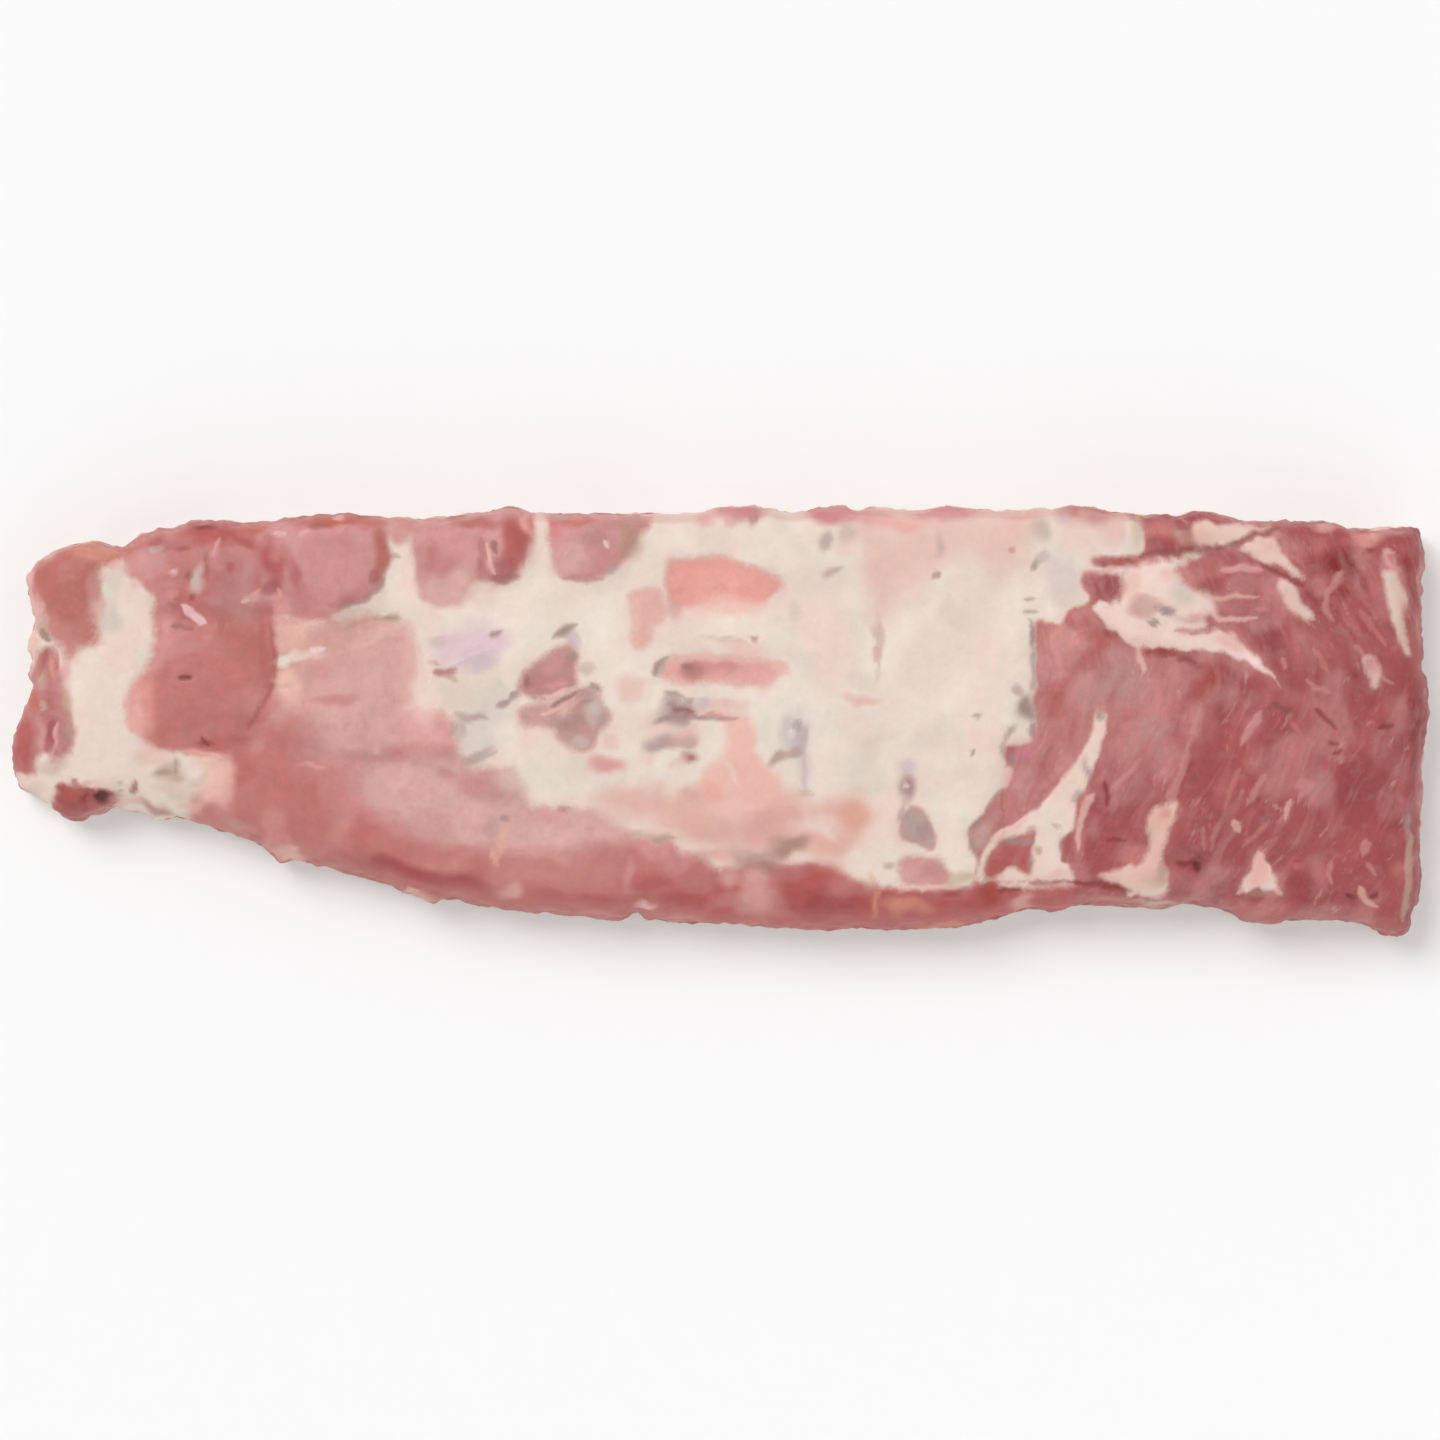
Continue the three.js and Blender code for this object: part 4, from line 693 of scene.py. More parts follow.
belly = {
    "smoothing": 2,  # rounds of subdivision over the solid's facets
    # runs of cuts across the underside: mm between them, which way each run faces, half its reach in metres
    "underPitch": 7,
    "underCuts": [((0, 1, 0), 0.092), ((1, 0, 0), 0.301)],
    "edgeWander": 0.8,  # mm that the borders of lean and fat wander
    "patchWander": 3.2,  # mm that the soft patches of tone wander
    "film": 0.5,  # how far thin fat pales the lean along its borders
    "grainHeading": 62,  # degrees, of the thick muscle's fibres
    "grainFrom": 131,  # mm along, where that muscle starts
    "grainBendAt": 22,  # mm across, where its fibres bend over
    "grainBendWidth": 18,  # mm, how gently they do
    "fringe": (7, 3.4),  # mm, length and width of the frayed ends of its strands
    "feather": 2.6,  # mm that those strands fray along the fibres
    "markRelief": 0.6,  # share of the marks' rise that is kept
    "lumps": 0.3,  # mm of small lumps all over
    "seam": 0.2,  # mm deep, between lean and fat
    "seamWidth": 0.9,  # mm to either side
    "leanSink": 0.25,  # mm that lean lies below fat
    "fibreRise": 0.3,  # mm that bundles of fibres stand up
    "crags": 1.0,  # mm of ragged wall, as the knife and the cold left it
}
touching = 1e-6  # metres, less than the finest facet
whole = 3  # widths of the soft border, within which lean turns wholly to fat
farOff = 40.0  # mm, too far from a border to matter
noMark = (0.0, -6.0)  # offset and half width in mm where no mark is near

marking = {
    "reach": 5.5,  # mm around its path that a mark is stored
    "taper": 6,  # each end tapers over one sixth of the length
    "bluntEnd": 0.12,  # share of the taper that is left at the very end
    "meeting": -3,  # mm inside, beyond which two marks don't meet
    "apart": -1.8,  # mm inside, beyond which the side doesn't count
    "unseen": 9.0,  # mm off its line, where a mark changes nothing
}

# Noise that borders and patches wander by: size in mm, shift
wanders = {"coarse": (13, 3.1), "middle": (6, 7.7), "fine": (2.2, 41.3)}
otherWay = 14.6  # further shift of the same noise, for the wander across

# Drifts of warm, rosy and grey fat, and of paler and redder lean: tone, size in mm, shift, strength
fatDrifts = [
    ("pinkFat", 31, 2.0, 0.7), ("warmCream", 23, 9.0, 0.6), ("greyFat", 17, 21.0, 0.35),
    ("whiteFat", 27, 33.0, 0.5)]
leanDrifts = [("blush", 15, 51.0, 0.3), ("brick", 19, 57.0, 0.3)]
# The outer fat underneath, where the rind was cut off
underDrifts = [
    ("whiteFat", 34, 5.0, 0.6), ("pinkFat", 26, 11.0, 0.8), ("rosyFat", 19, 17.0, 0.7),
    ("greyFat", 23, 27.0, 0.6)]

# Thin film along the borders: layer, its side of the border, mm that it fades over, tone
films = [("fatTone", -1, 3.5, "rosyFat"), ("leanTone", 1, 2.2, "peach")]

# The layers that show on the cut walls: share of the height from and to, softness in mm, kind, tone
wallLayers = {
    "core": (0.60, 0.86, 2.4, "lean", "dusty"),
    "fatUnderCore": (0.47, 0.60, 1.3, "fat", "rosyFat"),
    "thinLean": (0.33, 0.47, 1.3, "lean", "brick"),
    "outerFat": (-1.0, 0.33, 1.5, "fat", "warmCream"),
}
# Both long rims: which way they face, layer, tone, strength. The far rim takes the red of its band; the near
# rim's salmon is painted light on the rounded edge that turns from the key lamp
rimToneAndLight = [(1, "fatTone", "dusty", 0.36), (-1, "leanTone", "salmon", 0.15)]
wallHeight = [(-300, 24), (-200, 30), (-60, 32), (120, 33), (300, 35)]  # mm at stations along the belly

# Nicks and lips of the rim: x, y, radius, how far out in mm
rimNudges = [
    (-232, 86, 8, -2.0), (-254, 77, 5, -1.6), (-184, 91, 5, -1.6), (-160, 92, 5, -1.2),
    (-35.5, -85, 3.5, -3.2), (4, 93, 9, -1.2), (58, 92, 5, -1.8), (141, 93, 6, -2.2), (166, 92, 7, -1.6),
    (180, 91, 6, -2.0), (194, 90, 6, -1.6), (216, -76, 4, 2.2), (298, -84, 6, -2.6), (-300, -22, 5, 0.6),
    (-122, -76, 4, 1.6), (-112, -77, 5, -1.6), (-202, -55, 5, -1.4), (-186, -59, 4, 1.8),
    (-266, -43, 4, -1.4), (-258, -40, 3, -1.2), (-250, -39, 3, 1.0), (-304, 62, 4, 1.6), (-299, 40, 3, 1.8),
    (-299, 31, 2.5, 1.4), (-300, 49, 3, -1.6), (298, 60, 5, -1.6), (300, 22, 6, -1.8), (300, 50, 5, -1.2),
    (303, 2, 6, 0.4), (298, -60, 6, -1.6), (120, 93, 5, -1.2), (-130, -80, 7, -0.6), (-60, -86, 9, -0.6),
    (60, -92, 12, -0.6), (250, 87, 6, -1.2), (-146, -72, 4, 1.4), (-132, -74, 3, -1.2), (-150, 93, 6, 0.8),
    (36, 92, 6, -1.0),
]


def smoothStep(low, high, value):
    share = np.clip((value - low) / (high - low), 0, 1)
    return share * share * (3 - 2 * share)


def noiseField(points, size, shift=0.0):
    return np.array([noise.noise((x / size + shift, y / size, z / size)) for x, y, z in points])


def layeredNoise(points, layers):
    # noise of several sizes added up: size in mm, shift, share
    return sum(share * noiseField(points, size, shift) for size, shift, share in layers)


def roundedLoop(corners, steps=5):
    # a closed Catmull-Rom curve through the corners
    corners = np.array(corners, float)
    before, after, beyond = (np.roll(corners, shift, axis=0) for shift in (1, -1, -2))
    loop = []
    for t in np.arange(steps) / steps:
        loop.append(0.5 * (2 * corners + (after - before) * t
                           + (2 * before - 5 * corners + 4 * after - beyond) * t ** 2
                           + (3 * corners - before - 3 * after + beyond) * t ** 3))
    return np.stack(loop, axis=1).reshape(-1, 2)


def fromSegment(points, start, end):
    # distance to the segment, positive on its left, and how far along its line
    along, reach = end - start, points - start
    share = (reach @ along) / max(along @ along, 1e-9)
    side = np.where(along[0] * reach[:, 1] - along[1] * reach[:, 0] < 0, -1, 1)
    return side * np.hypot(*(reach - np.clip(share, 0, 1)[:, None] * along).T), share


def insideDistance(points, loop):
    # distance to the loop, positive inside
    distance = np.full(len(points), 1e9)
    inside = np.zeros(len(points), bool)
    for start, end in zip(loop, np.roll(loop, -1, axis=0)):
        distance = np.minimum(distance, np.abs(fromSegment(points, start, end)[0]))
        crosses = (start[1] > points[:, 1]) != (end[1] > points[:, 1])
        if crosses.any():
            slope = (end[0] - start[0]) / (end[1] - start[1])
            inside ^= crosses & (points[:, 0] < start[0] + (points[:, 1] - start[1]) * slope)
    return np.where(inside, distance, -distance)


def nearTo(points, shape, margin):
    low, high = np.min(shape, axis=0) - margin, np.max(shape, axis=0) + margin
    return np.flatnonzero(((points >= low) & (points <= high)).all(axis=1))


def bellyMesh():
    # the solid's facets, joined into quads and smoothed, over a flat underside
    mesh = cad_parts["pork_belly"].data.copy()
    shell = bmesh.new()
    shell.from_mesh(mesh)
    bmesh.ops.remove_doubles(shell, verts=shell.verts, dist=2 * touching)
    flat = [face for face in shell.faces if max(vert.co.z for vert in face.verts) < touching]
    bmesh.ops.delete(shell, geom=flat, context="FACES_ONLY")
    bmesh.ops.join_triangles(
        shell, faces=shell.faces, angle_face_threshold=math.pi, angle_shape_threshold=math.pi)
    shell.to_mesh(mesh)
    shell.free()
    rough = bpy.data.objects.new("rough", mesh)
    bpy.context.collection.objects.link(rough)
    smoother = rough.modifiers.new("smooth", "SUBSURF")
    smoother.levels = smoother.render_levels = belly["smoothing"]
    depsgraph = bpy.context.evaluated_depsgraph_get()
    smooth = bpy.data.meshes.new_from_object(rough.evaluated_get(depsgraph))
    bpy.data.objects.remove(rough)

    closed = bmesh.new()
    closed.from_mesh(smooth)
    rim = [edge for edge in closed.edges if edge.is_boundary]
    under = bmesh.ops.edgeloop_fill(closed, edges=rim)["faces"]
    bmesh.ops.recalc_face_normals(closed, faces=closed.faces)
    # cuts across the underside, whose crossings hold its tones
    under += rim + list({vert for edge in rim for vert in edge.verts})
    for across, reach in belly["underCuts"]:
        for place in np.arange(-reach, reach, belly["underPitch"] / 1000):
            under = bmesh.ops.bisect_plane(
                closed, geom=under, dist=touching, plane_co=Vector(across) * place, plane_no=across)["geom"]
    # the cuts leave loose edges and points outside the rim
    bmesh.ops.delete(closed, geom=[edge for edge in closed.edges if edge.is_wire], context="EDGES")
    bmesh.ops.delete(closed, geom=[vert for vert in closed.verts if not vert.link_faces], context="VERTS")
    closed.to_mesh(smooth)
    closed.free()
    smooth.name = "pork_belly_flesh"
    smooth.materials.clear()
    for polygon in smooth.polygons:
        polygon.use_smooth = True
    return smooth


def tint(skin, where, weight, tone, layers):
    for layer in layers:
        skin[layer][where] += weight[:, None] * (linearColor(tone) - skin[layer][where])


def paintDrifts(skin, where, inMm, drifts, layer, low=0.05):
    for tone, size, shift, strength in drifts:
        tint(skin, where, strength * smoothStep(low, 0.5, noiseField(inMm, size, shift)), tone, (layer,))


def paintArea(skin, seen, kind, tone, softness, outline, heading=0, grain=0.0):
    loop = roundedLoop(outline)
    near = nearTo(seen, loop, 4 * softness + 8)  # past where its film ends
    depth = insideDistance(seen[near], loop)
    share = np.clip(depth / softness, -whole, whole)
    if kind == "lean":
        skin["leanness"][near] = np.maximum(skin["leanness"][near], share)
        skin["border"][near] = np.maximum(skin["border"][near], depth)
        skin["heading"][near[depth > 0]] = heading
        skin["grain"][near[depth > 0]] = grain
    else:
        skin["leanness"][near] = np.minimum(skin["leanness"][near], -share)
        skin["border"][near] = np.minimum(skin["border"][near], -depth)
    tint(skin, near, smoothStep(-1.2, 0.6, share), tone, (kind + "Tone",))


def paintHaze(skin, seen, layers, tone, softness, strength, outline):
    loop = roundedLoop(outline)
    near = nearTo(seen, loop, 2 * softness)
    depth = insideDistance(seen[near], loop) / softness
    tint(skin, near, strength * smoothStep(-1, 1, depth), tone, layers)


def paintPatch(skin, seen, layers, x, y, along, across, tone, strength, turn=0):
    near = nearTo(seen, [(x, y)], 1.3 * max(along, across))
    turned = math.radians(turn)
    dx, dy = seen[near, 0] - x, seen[near, 1] - y
    reach = np.hypot((dx * math.cos(turned) + dy * math.sin(turned)) / along,
                     (dy * math.cos(turned) - dx * math.sin(turned)) / across)
    fullTo, goneBy = (0.35, 1.25) if max(along, across) > 4 else (0.6, 1.15)  # small ones have a firmer edge
    tint(skin, near, strength * (1 - smoothStep(fullTo, goneBy, reach)), tone, layers)


def paintMark(skin, seen, tone, startWidth, endWidth, rise, path):
    # a thin line is kept as its distance to either side, so it stays fine between the mesh's points
    path = np.array(path, float)
    near = nearTo(seen, path, marking["reach"])
    lengths = np.append(0, np.cumsum(np.hypot(*np.diff(path, axis=0).T)))
    offset, reached = np.full(len(near), marking["unseen"]), np.zeros(len(near))
    for i in range(len(path) - 1):
        distance, share = fromSegment(seen[near], path[i], path[i + 1])
        # the first and last stretch run on past the ends
        share = np.clip(share, 0 if i else -9, 1 if i < len(path) - 2 else 9)
        closer = np.abs(distance) < np.abs(offset)
        offset = np.where(closer, distance, offset)
        reached = np.where(closer, lengths[i] + share * (lengths[i + 1] - lengths[i]), reached)
    beyond = np.maximum(0, np.maximum(-reached, reached - lengths[-1]))
    offset = np.sign(offset) * np.sqrt(np.maximum(offset ** 2 - beyond ** 2, 0))
    along = np.clip(reached / lengths[-1], 0, 1)
    taper = np.sqrt(np.clip(np.minimum(along, 1 - along) * marking["taper"], marking["bluntEnd"], 1))
    half = (startWidth + along * (endWidth - startWidth)) / 2 * taper - beyond
    layer = "slit" if rise < 0 else "cord"
    inside = half - np.abs(offset)
    held = skin[layer][near]
    # where two marks meet they need their sides to agree, or a false line would run between them
    shared = (inside > marking["meeting"]) & (held[:, 1] > marking["meeting"])
    if np.sign(offset[shared] * held[shared, 0]).sum() < 0:
        offset = -offset
    closer = inside > held[:, 1] - np.abs(held[:, 0])
    apart = inside < marking["apart"]
    kept = np.stack([np.where(apart, 0, offset), np.where(apart, inside, half)], axis=1)
    skin[layer][near[closer]] = kept[closer]
    skin[layer + "Tone"][near[closer]] = linearColor(tone)
    raised = 1 - smoothStep(half * 0.5 - 0.1, half + 1.3, np.abs(offset))
    skin["rise"][near] += belly["markRelief"] * rise * raised


def grainSpace(x, y):
    # how far across the thick muscle's fibres a place is, their heading, and how far they have bent there
    bent = math.radians(belly["grainHeading"])
    rise = y - belly["grainBendAt"]
    reach = np.hypot(rise, belly["grainBendWidth"])
    return x * math.sin(bent) + reach * math.cos(bent), bent, rise / reach


def frayAlongFibres(above):
    # strands in the thick muscle end in a fringe that follows its fibres
    across, bent, slope = grainSpace(above[:, 0], above[:, 1])
    length, width = belly["fringe"]
    heading = np.stack([-math.cos(bent) * slope, np.full(len(above), math.sin(bent))], axis=1)
    fringe = noiseField(np.stack([across, above[:, 1] / length, 0 * across], axis=1), width, 5.0)
    share = belly["feather"] * smoothStep(belly["grainFrom"] - 8, belly["grainFrom"] + 6, above[:, 0])
    return heading * (share * fringe)[:, None]


def blankSkin(count):
    # nothing but fat, with the tones that lean, slits and cords start from
    skin = {name: np.zeros(count) for name in ("heading", "grain", "rise")}
    skin.update({name: np.tile(noMark, (count, 1)) for name in ("slit", "cord")})
    for layer in ("leanTone", "slitTone", "cordTone"):
        skin[layer] = np.tile(linearColor("dusty"), (count, 1))
    skin["fatTone"] = np.tile(linearColor("cream"), (count, 1))
    skin["leanness"] = np.full(count, -float(whole))
    skin["border"] = np.full(count, -farOff)
    return skin


def paintSkin(places):
    # the tones and depths of every point, worked out from how the belly looks from above
    inMm = places * 1000
    coarse, middle, fine = (
        np.stack([noiseField(inMm, size, shift), noiseField(inMm, size, shift + otherWay)], axis=1)
        for size, shift in wanders.values())
    flattened = (cameraHeight - studio["outlineHeight"]) / (cameraHeight - places[:, 2])
    above = inMm[:, :2] * flattened[:, None]
    seen = above + belly["edgeWander"] * (middle * 1.3 + fine * 0.6)
    loose = above + belly["patchWander"] * (coarse + middle * 0.5)
    frayed = seen + frayAlongFibres(above)
    skin = blankSkin(len(places))
    for tone, softness, heading, grain, outline in leanAreas.values():
        paintArea(skin, seen, "lean", tone, softness, outline, heading, grain)
    for tone, softness, outline in fatAreas.values():
        paintArea(skin, frayed, "fat", tone, softness, outline)
    for tone, softness, heading, grain, outline in leanInStrand.values():
        paintArea(skin, seen, "lean", tone, softness, outline, heading, grain)

    everywhere = np.arange(len(places))
    paintDrifts(skin, everywhere, inMm, fatDrifts, "fatTone")
    paintDrifts(skin, everywhere, inMm, leanDrifts, "leanTone")
    patchy = belly["film"] * (0.6 + 0.8 * noiseField(inMm, 8, 63.0))
    for layer, side, fade, tone in films:
        away = np.clip(side * skin["border"], 0, farOff)
        tint(skin, everywhere, patchy * np.exp(-away / fade), tone, (layer,))

    painted = {"lean": ("leanTone",), "fat": ("fatTone",), "both": ("leanTone", "fatTone")}
    for layers, *haze in hazes.values():
        paintHaze(skin, loose, painted[layers], *haze)
    for layers, listed in patches.values():
        for patch in listed:
            wandering = loose if max(patch[2:4]) > 5 else seen
            paintPatch(skin, wandering, painted[layers], *patch)
    for group in marks.values():
        for mark in group:
            paintMark(skin, seen, *mark)
    return skin


def paintWalls(skin, places, normals):
    inMm = places * 1000
    everywhere = np.arange(len(places))
    height = np.interp(inMm[:, 0], *np.array(wallHeight).T)
    steep = 1 - smoothStep(0.02, 0.24, normals[:, 2])
    # the far rim gets the red of its band; the near rim is painted lighter, painted light on its rounded
    # edge
    for side, layer, tone, strength in rimToneAndLight:
        facing = smoothStep(0.45, 0.8, side * normals[:, 1]) * smoothStep(0.0, 0.3, normals[:, 2])
        tint(skin, everywhere, strength * facing, tone, (layer,))
    for i, (low, high, softness, kind, tone) in enumerate(wallLayers.values()):
        wander = layeredNoise(inMm, [(61, 4.0, 0.13), (23, 6.0 + i, 0.05), (9, 16.0 + i, 0.03)])
        level = inMm[:, 2] / height + wander
        swell = 0.10 * noiseField(inMm, 43, 70.0 + i)
        depth = np.minimum(level - low + swell, high - level + swell) * height / softness
        covered = steep * smoothStep(-1, 0.6, depth)
        signed = np.clip(depth if kind == "lean" else -depth, -whole, whole)
        skin["leanness"] += covered * (signed - skin["leanness"])
        tint(skin, everywhere, covered, tone, (kind + "Tone",))


def paintUnderside(skin, places):
    under = np.flatnonzero(places[:, 2] < 0.0001)
    inMm = places[under] * 1000
    paintDrifts(skin, under, inMm, underDrifts, "fatTone", low=0)
    # thin lean shows where the knife went deeper, in strokes along the belly
    bared = smoothStep(0.05, 0.55, noiseField(inMm * (0.45, 1, 1), 33, 31.0))
    skin["leanness"][under] = -1.8 + 2.3 * bared
    skin["leanTone"][under] = linearColor("rose")
    skin["grain"][under] = 0
    for layer in ("slit", "cord"):
        skin[layer][under] = noMark


def fibreCoordinates(places, skin):
    inMm = places * 1000
    heading = np.radians(skin["heading"])
    along = inMm[:, 0] * np.cos(heading) + inMm[:, 1] * np.sin(heading)
    across = inMm[:, 1] * np.cos(heading) - inMm[:, 0] * np.sin(heading)
    inGrain = inMm[:, 0] > belly["grainFrom"] - 12
    along = np.where(inGrain, inMm[:, 1], along)
    across = np.where(inGrain, grainSpace(inMm[:, 0], inMm[:, 1])[0], across)
    across += layeredNoise(inMm, [(12, 90.0, 2.4), (30, 93.0, 3.5)])
    return np.stack([along, across, inMm[:, 2]], axis=1)


def carve(mesh, places, normals, skin):
    # small relief in mm: lean a little lower than fat, a seam between them, slits, cords, lumps and fibres
    inMm = places * 1000
    seam = np.exp(-(skin["border"] / belly["seamWidth"]) ** 2)
    height = skin["rise"] - belly["seam"] * seam
    height -= belly["leanSink"] * smoothStep(-0.5, 0.5, skin["leanness"])
    height += belly["lumps"] * layeredNoise(inMm, [(9, 5.5, 1), (4.2, 8.5, 0.5), (2.4, 2.5, 0.3)])
    along, across = skin["fibre"][:, 0], skin["fibre"][:, 1]
    ridges = noiseField(np.stack([along / 6, across, 0 * along], axis=1), 3.4)
    height += belly["fibreRise"] * ridges * skin["grain"] * smoothStep(-0.3, 0.6, skin["leanness"])
    steep = 1 - smoothStep(0.2, 0.6, np.abs(normals[:, 2]))
    crags = layeredNoise(inMm, [(8, 80.0, 1), (3.3, 83.0, 0.7)])
    clefts = 1.2 * np.abs(noiseField(inMm, 6, 86.0)) - 0.25
    height += belly["crags"] * steep * (crags - clefts)
    height *= smoothStep(0.4, 4, inMm[:, 2])  # the underside stays flat
    places = places + normals * height[:, None] / 1000
    for x, y, radius, out in rimNudges:
        near = nearTo(inMm[:, :2], [(x, y)], 1.2 * radius)
        share = 1 - smoothStep(0.2, 1.1, np.hypot(inMm[near, 0] - x, inMm[near, 1] - y) / radius)
        share *= smoothStep(0.4, 9, inMm[near, 2]) * (1 - smoothStep(0.5, 0.95, normals[near, 2]))
        places[near, :2] += normals[near, :2] * (share * out)[:, None] / 1000
    mesh.vertices.foreach_set("co", places.astype(np.float32).ravel())
    mesh.update()


def storeField(mesh, name, values):
    kinds = {1: ("FLOAT", "value"), 2: ("FLOAT2", "vector"), 3: ("FLOAT_VECTOR", "vector"),
             4: ("FLOAT_COLOR", "color")}
    if name.endswith("Tone"):
        values = np.hstack([values, np.ones((len(values), 1))])
    kind, part = kinds[values.size // len(values)]
    field = mesh.attributes.new(name, kind, "POINT")
    field.data.foreach_set(part, np.ascontiguousarray(values, dtype=np.float32).ravel())


class Wire:
    # one value in a material's node tree; arithmetic on it adds Math nodes
    def __init__(self, tree, socket=None):
        self.tree, self.socket = tree, socket

    def add(self, kind, settings=None, inputs=None, output=0):
        made = self.tree.nodes.new(kind)
        for name, value in (settings or {}).items():
            setattr(made, name, value)
        for key, value in (inputs or {}).items():
            if isinstance(value, Wire):
                self.tree.links.new(value.socket, made.inputs[key])
            else:
                made.inputs[key].default_value = value
        return Wire(self.tree, made.outputs[output])

    def math(self, operation, first, second=0.0):
        return self.add("ShaderNodeMath", {"operation": operation}, {0: first, 1: second})

    def __add__(self, other):
        return self.math("ADD", self, other)

    def __radd__(self, other):
        return self.math("ADD", other, self)

    def __sub__(self, other):
        return self.math("SUBTRACT", self, other)

    def __rsub__(self, other):
        return self.math("SUBTRACT", other, self)

    def __mul__(self, other):
        return self.math("MULTIPLY", self, other)

    def __rmul__(self, other):
        return self.math("MULTIPLY", other, self)

    def __abs__(self):
        return self.math("ABSOLUTE", self)

    def ramp(self, low, high):
        return self.add("ShaderNodeMapRange", {"interpolation_type": "SMOOTHSTEP"},
                        {"Value": self, "From Min": low, "From Max": high})

    def part(self, index):
        return self.add("ShaderNodeSeparateXYZ", inputs={0: self}, output=index)

    def stretch(self, scales):
        return self.add("ShaderNodeVectorMath", {"operation": "MULTIPLY"}, {0: self, 1: scales})

    def shade(self, strength):
        # a colour made lighter or darker
        return self.add("ShaderNodeVectorMath", {"operation": "SCALE"}, {0: self, "Scale": strength})

    def blend(self, first, second):
        # mixes two colours, with this value as the factor
        return self.add("ShaderNodeMix", {"data_type": "RGBA"}, {0: self, 6: first, 7: second}, output=2)


# The finish of the flesh
rawPork = {
    # patterns over the whole piece: scale per metre, detail, roughness
    "patterns": {
        "ragged": (700, 3, 0.5), "blotch": (170, 4, 0.65), "broad": (45, 3, 0.5), "clusters": (60, 2, 0.5),
        "mottle": (115, 3, 0.6), "grit": (420, 2, 0.6)},
    # patterns that follow the fibres: scale per mm along, across and through them, detail, roughness
    "fibrePatterns": {
        "bundles": ((0.024, 0.11, 0.08), 4, 0.6), "ruddy": ((0.035, 0.19, 0.1), 3, 0.55),
        "threads": ((0.07, 0.4, 0.3), 3, 0.6), "specks": ((0.13, 0.34, 0.2), 3, 0.6)},
    # tones laid over the lean: pattern, its values from and to, strength with the grain and anywhere, colour
    "overLean": [
        ("ruddy", 0.5, 0.72, 0.4, 0.0, (0.35, 0.078, 0.08, 1)),
        ("ruddy", 0.5, 0.3, 0.3, 0.0, (0.60, 0.31, 0.29, 1)),
        ("mottle", 0.5, 0.7, 0.2, 0.1, (0.42, 0.10, 0.085, 1)),
        ("mottle", 0.5, 0.32, 0.14, 0.08, (0.47, 0.25, 0.24, 1))],
    "fleckColor": (0.72, 0.42, 0.38, 1),  # specks of fat between the fibres
    "broadFatColor": (0.80, 0.62, 0.54, 1),
    "lobules": 190,  # cells of fat, scale per metre
    "cordStrength": 0.72,  # share of a mark's own tone that shows
    "slitStrength": 0.64,
    "roughness": 0.5,
    "bumpDepth": 0.0008,  # metres
    "sockets": {
        "Subsurface Weight": 0.15, "Subsurface Radius": (1.0, 0.4, 0.3), "Subsurface Scale": 0.003,
        "IOR": 1.42, "Specular IOR Level": 0.35},
}


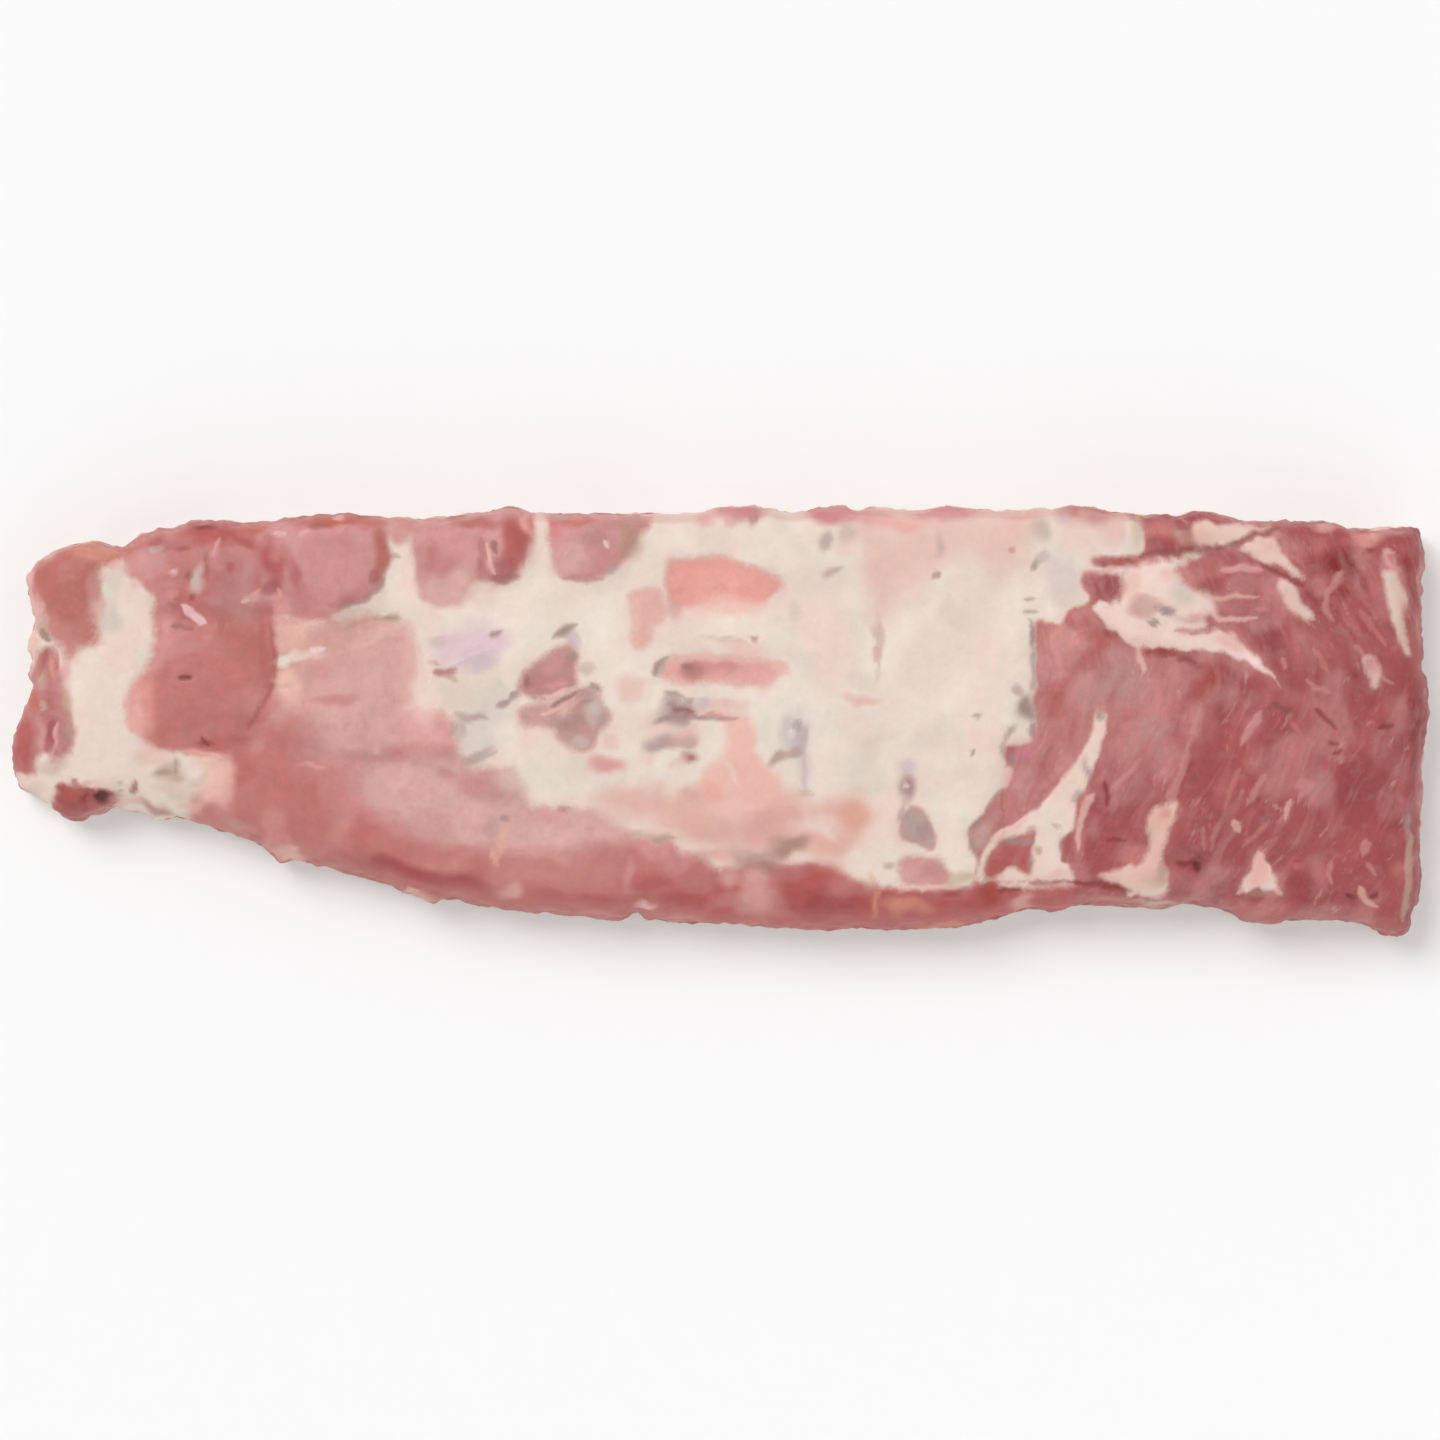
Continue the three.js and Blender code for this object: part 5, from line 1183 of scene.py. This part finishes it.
def fleshMaterial():
    material = bpy.data.materials.new("rawPork")
    material.use_nodes = True
    tree = material.node_tree
    shader = tree.nodes["Principled BSDF"]
    wire = Wire(tree)

    def attribute(name, output=2):
        # the field as a colour (0), a vector (1) or a number (2)
        return wire.add("ShaderNodeAttribute", {"attribute_name": name}, output=output)

    def pattern(vector, scale, detail, roughness):
        return wire.add("ShaderNodeTexNoise", inputs={
            "Vector": vector, "Scale": scale, "Detail": detail, "Roughness": roughness})

    place = wire.add("ShaderNodeTexCoord", output=3)
    fibre = attribute("fibre", 1)
    grain = attribute("grain")
    noises = {name: pattern(place, *values) for name, values in rawPork["patterns"].items()}
    for name, (scales, *values) in rawPork["fibrePatterns"].items():
        noises[name] = pattern(fibre.stretch(scales), 1.0, *values)

    def swing(name):
        # the pattern as its departure from the middle
        return noises[name] - 0.5

    leanMask = (attribute("leanness") + swing("ragged") * 0.5 + swing("blotch") * 1.3).ramp(-0.75, 0.75)

    def lineOf(name, softness):
        # inside a thin mark's width, where one is near
        mark = attribute(name, 1)
        inside = mark.part(1) - abs(mark.part(0)) + swing("ragged") * 0.9
        return inside.ramp(-0.95 * softness, 0.65 * softness)

    # lean: bundles of fibres, fine threads, and small specks of fat along them
    leanShade = (swing("bundles") * 0.62 + swing("threads") * 0.16) * grain + swing("blotch") * 0.3
    leanShade = leanShade + swing("broad") * 0.22 + swing("grit") * (grain * 0.2 + 0.06)
    lean = attribute("leanTone", 0).shade(leanShade + 1.0)
    for name, low, high, inGrain, anywhere, color in rawPork["overLean"]:
        lean = (noises[name].ramp(low, high) * (grain * inGrain + anywhere)).blend(lean, color)
    fleck = (noises["specks"] + swing("clusters") * 0.5).ramp(0.6, 0.84) * grain * 0.5
    lean = fleck.blend(lean, rawPork["fleckColor"])

    # fat: soft lobules under a thin membrane
    lobules = wire.add("ShaderNodeTexVoronoi", {"feature": "SMOOTH_F1"},
                       {"Vector": place, "Scale": rawPork["lobules"], "Smoothness": 0.8})
    fatShade = swing("blotch") * 0.14 + swing("grit") * 0.07 + (lobules - 0.4) * 0.03 + 1.0
    fat = attribute("fatTone", 0).shade(fatShade)
    fat = (noises["broad"].ramp(0.45, 0.75) * 0.3).blend(fat, rawPork["broadFatColor"])

    flesh = leanMask.blend(fat, lean)
    cord, slit = lineOf("cord", 1.1), lineOf("slit", 1.5)
    cordColor = attribute("cordTone", 0).shade(noises["blotch"] * 0.3 + 0.85)
    flesh = (cord * rawPork["cordStrength"]).blend(flesh, cordColor)
    flesh = (slit * rawPork["slitStrength"]).blend(flesh, attribute("slitTone", 0))
    tree.links.new(flesh.socket, shader.inputs["Base Color"])

    roughness = rawPork["roughness"] - leanMask * 0.09 + swing("blotch") * 0.3 + slit * 0.1
    tree.links.new(roughness.socket, shader.inputs["Roughness"])

    height = noises["threads"] * grain * 0.5 + lobules * (1 - leanMask) * 0.25 + (cord - slit) * 0.35
    height = height + noises["blotch"] * 0.6 + noises["grit"] * 0.2 + noises["ragged"] * 0.1
    bump = wire.add("ShaderNodeBump", inputs={
        "Strength": 0.6, "Distance": rawPork["bumpDepth"], "Height": height})
    tree.links.new(bump.socket, shader.inputs["Normal"])

    for name, value in rawPork["sockets"].items():
        shader.inputs[name].default_value = value
    return material


def buildBelly():
    mesh = bellyMesh()
    places = np.empty(len(mesh.vertices) * 3, np.float32)
    mesh.vertices.foreach_get("co", places)
    places = places.reshape(-1, 3).astype(float)
    normals = np.array([vert.normal[:] for vert in mesh.vertices])
    print("belly mesh:", len(mesh.vertices), "points,", len(mesh.polygons), "faces")

    skin = paintSkin(places)
    paintWalls(skin, places, normals)
    paintUnderside(skin, places)
    skin["fibre"] = fibreCoordinates(places, skin)
    patchCount = sum(len(listed) for layers, listed in patches.values())
    markCount = sum(map(len, marks.values()))
    print("belly painted:", len(leanAreas), "lean areas,", patchCount, "patches,", markCount, "marks")
    carve(mesh, places, normals, skin)

    for name, values in skin.items():
        if name not in ("heading", "border", "rise"):  # these served the relief alone
            storeField(mesh, name, values)
    mesh.materials.append(fleshMaterial())
    piece = bpy.data.objects.new("pork_belly_flesh", mesh)
    bpy.context.collection.objects.link(piece)
    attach(piece, "root")
    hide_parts("pork_belly")


setUpStudio()
print("studio ready, camera at", round(cameraHeight, 3), "m")
buildBelly()
print("belly ready")
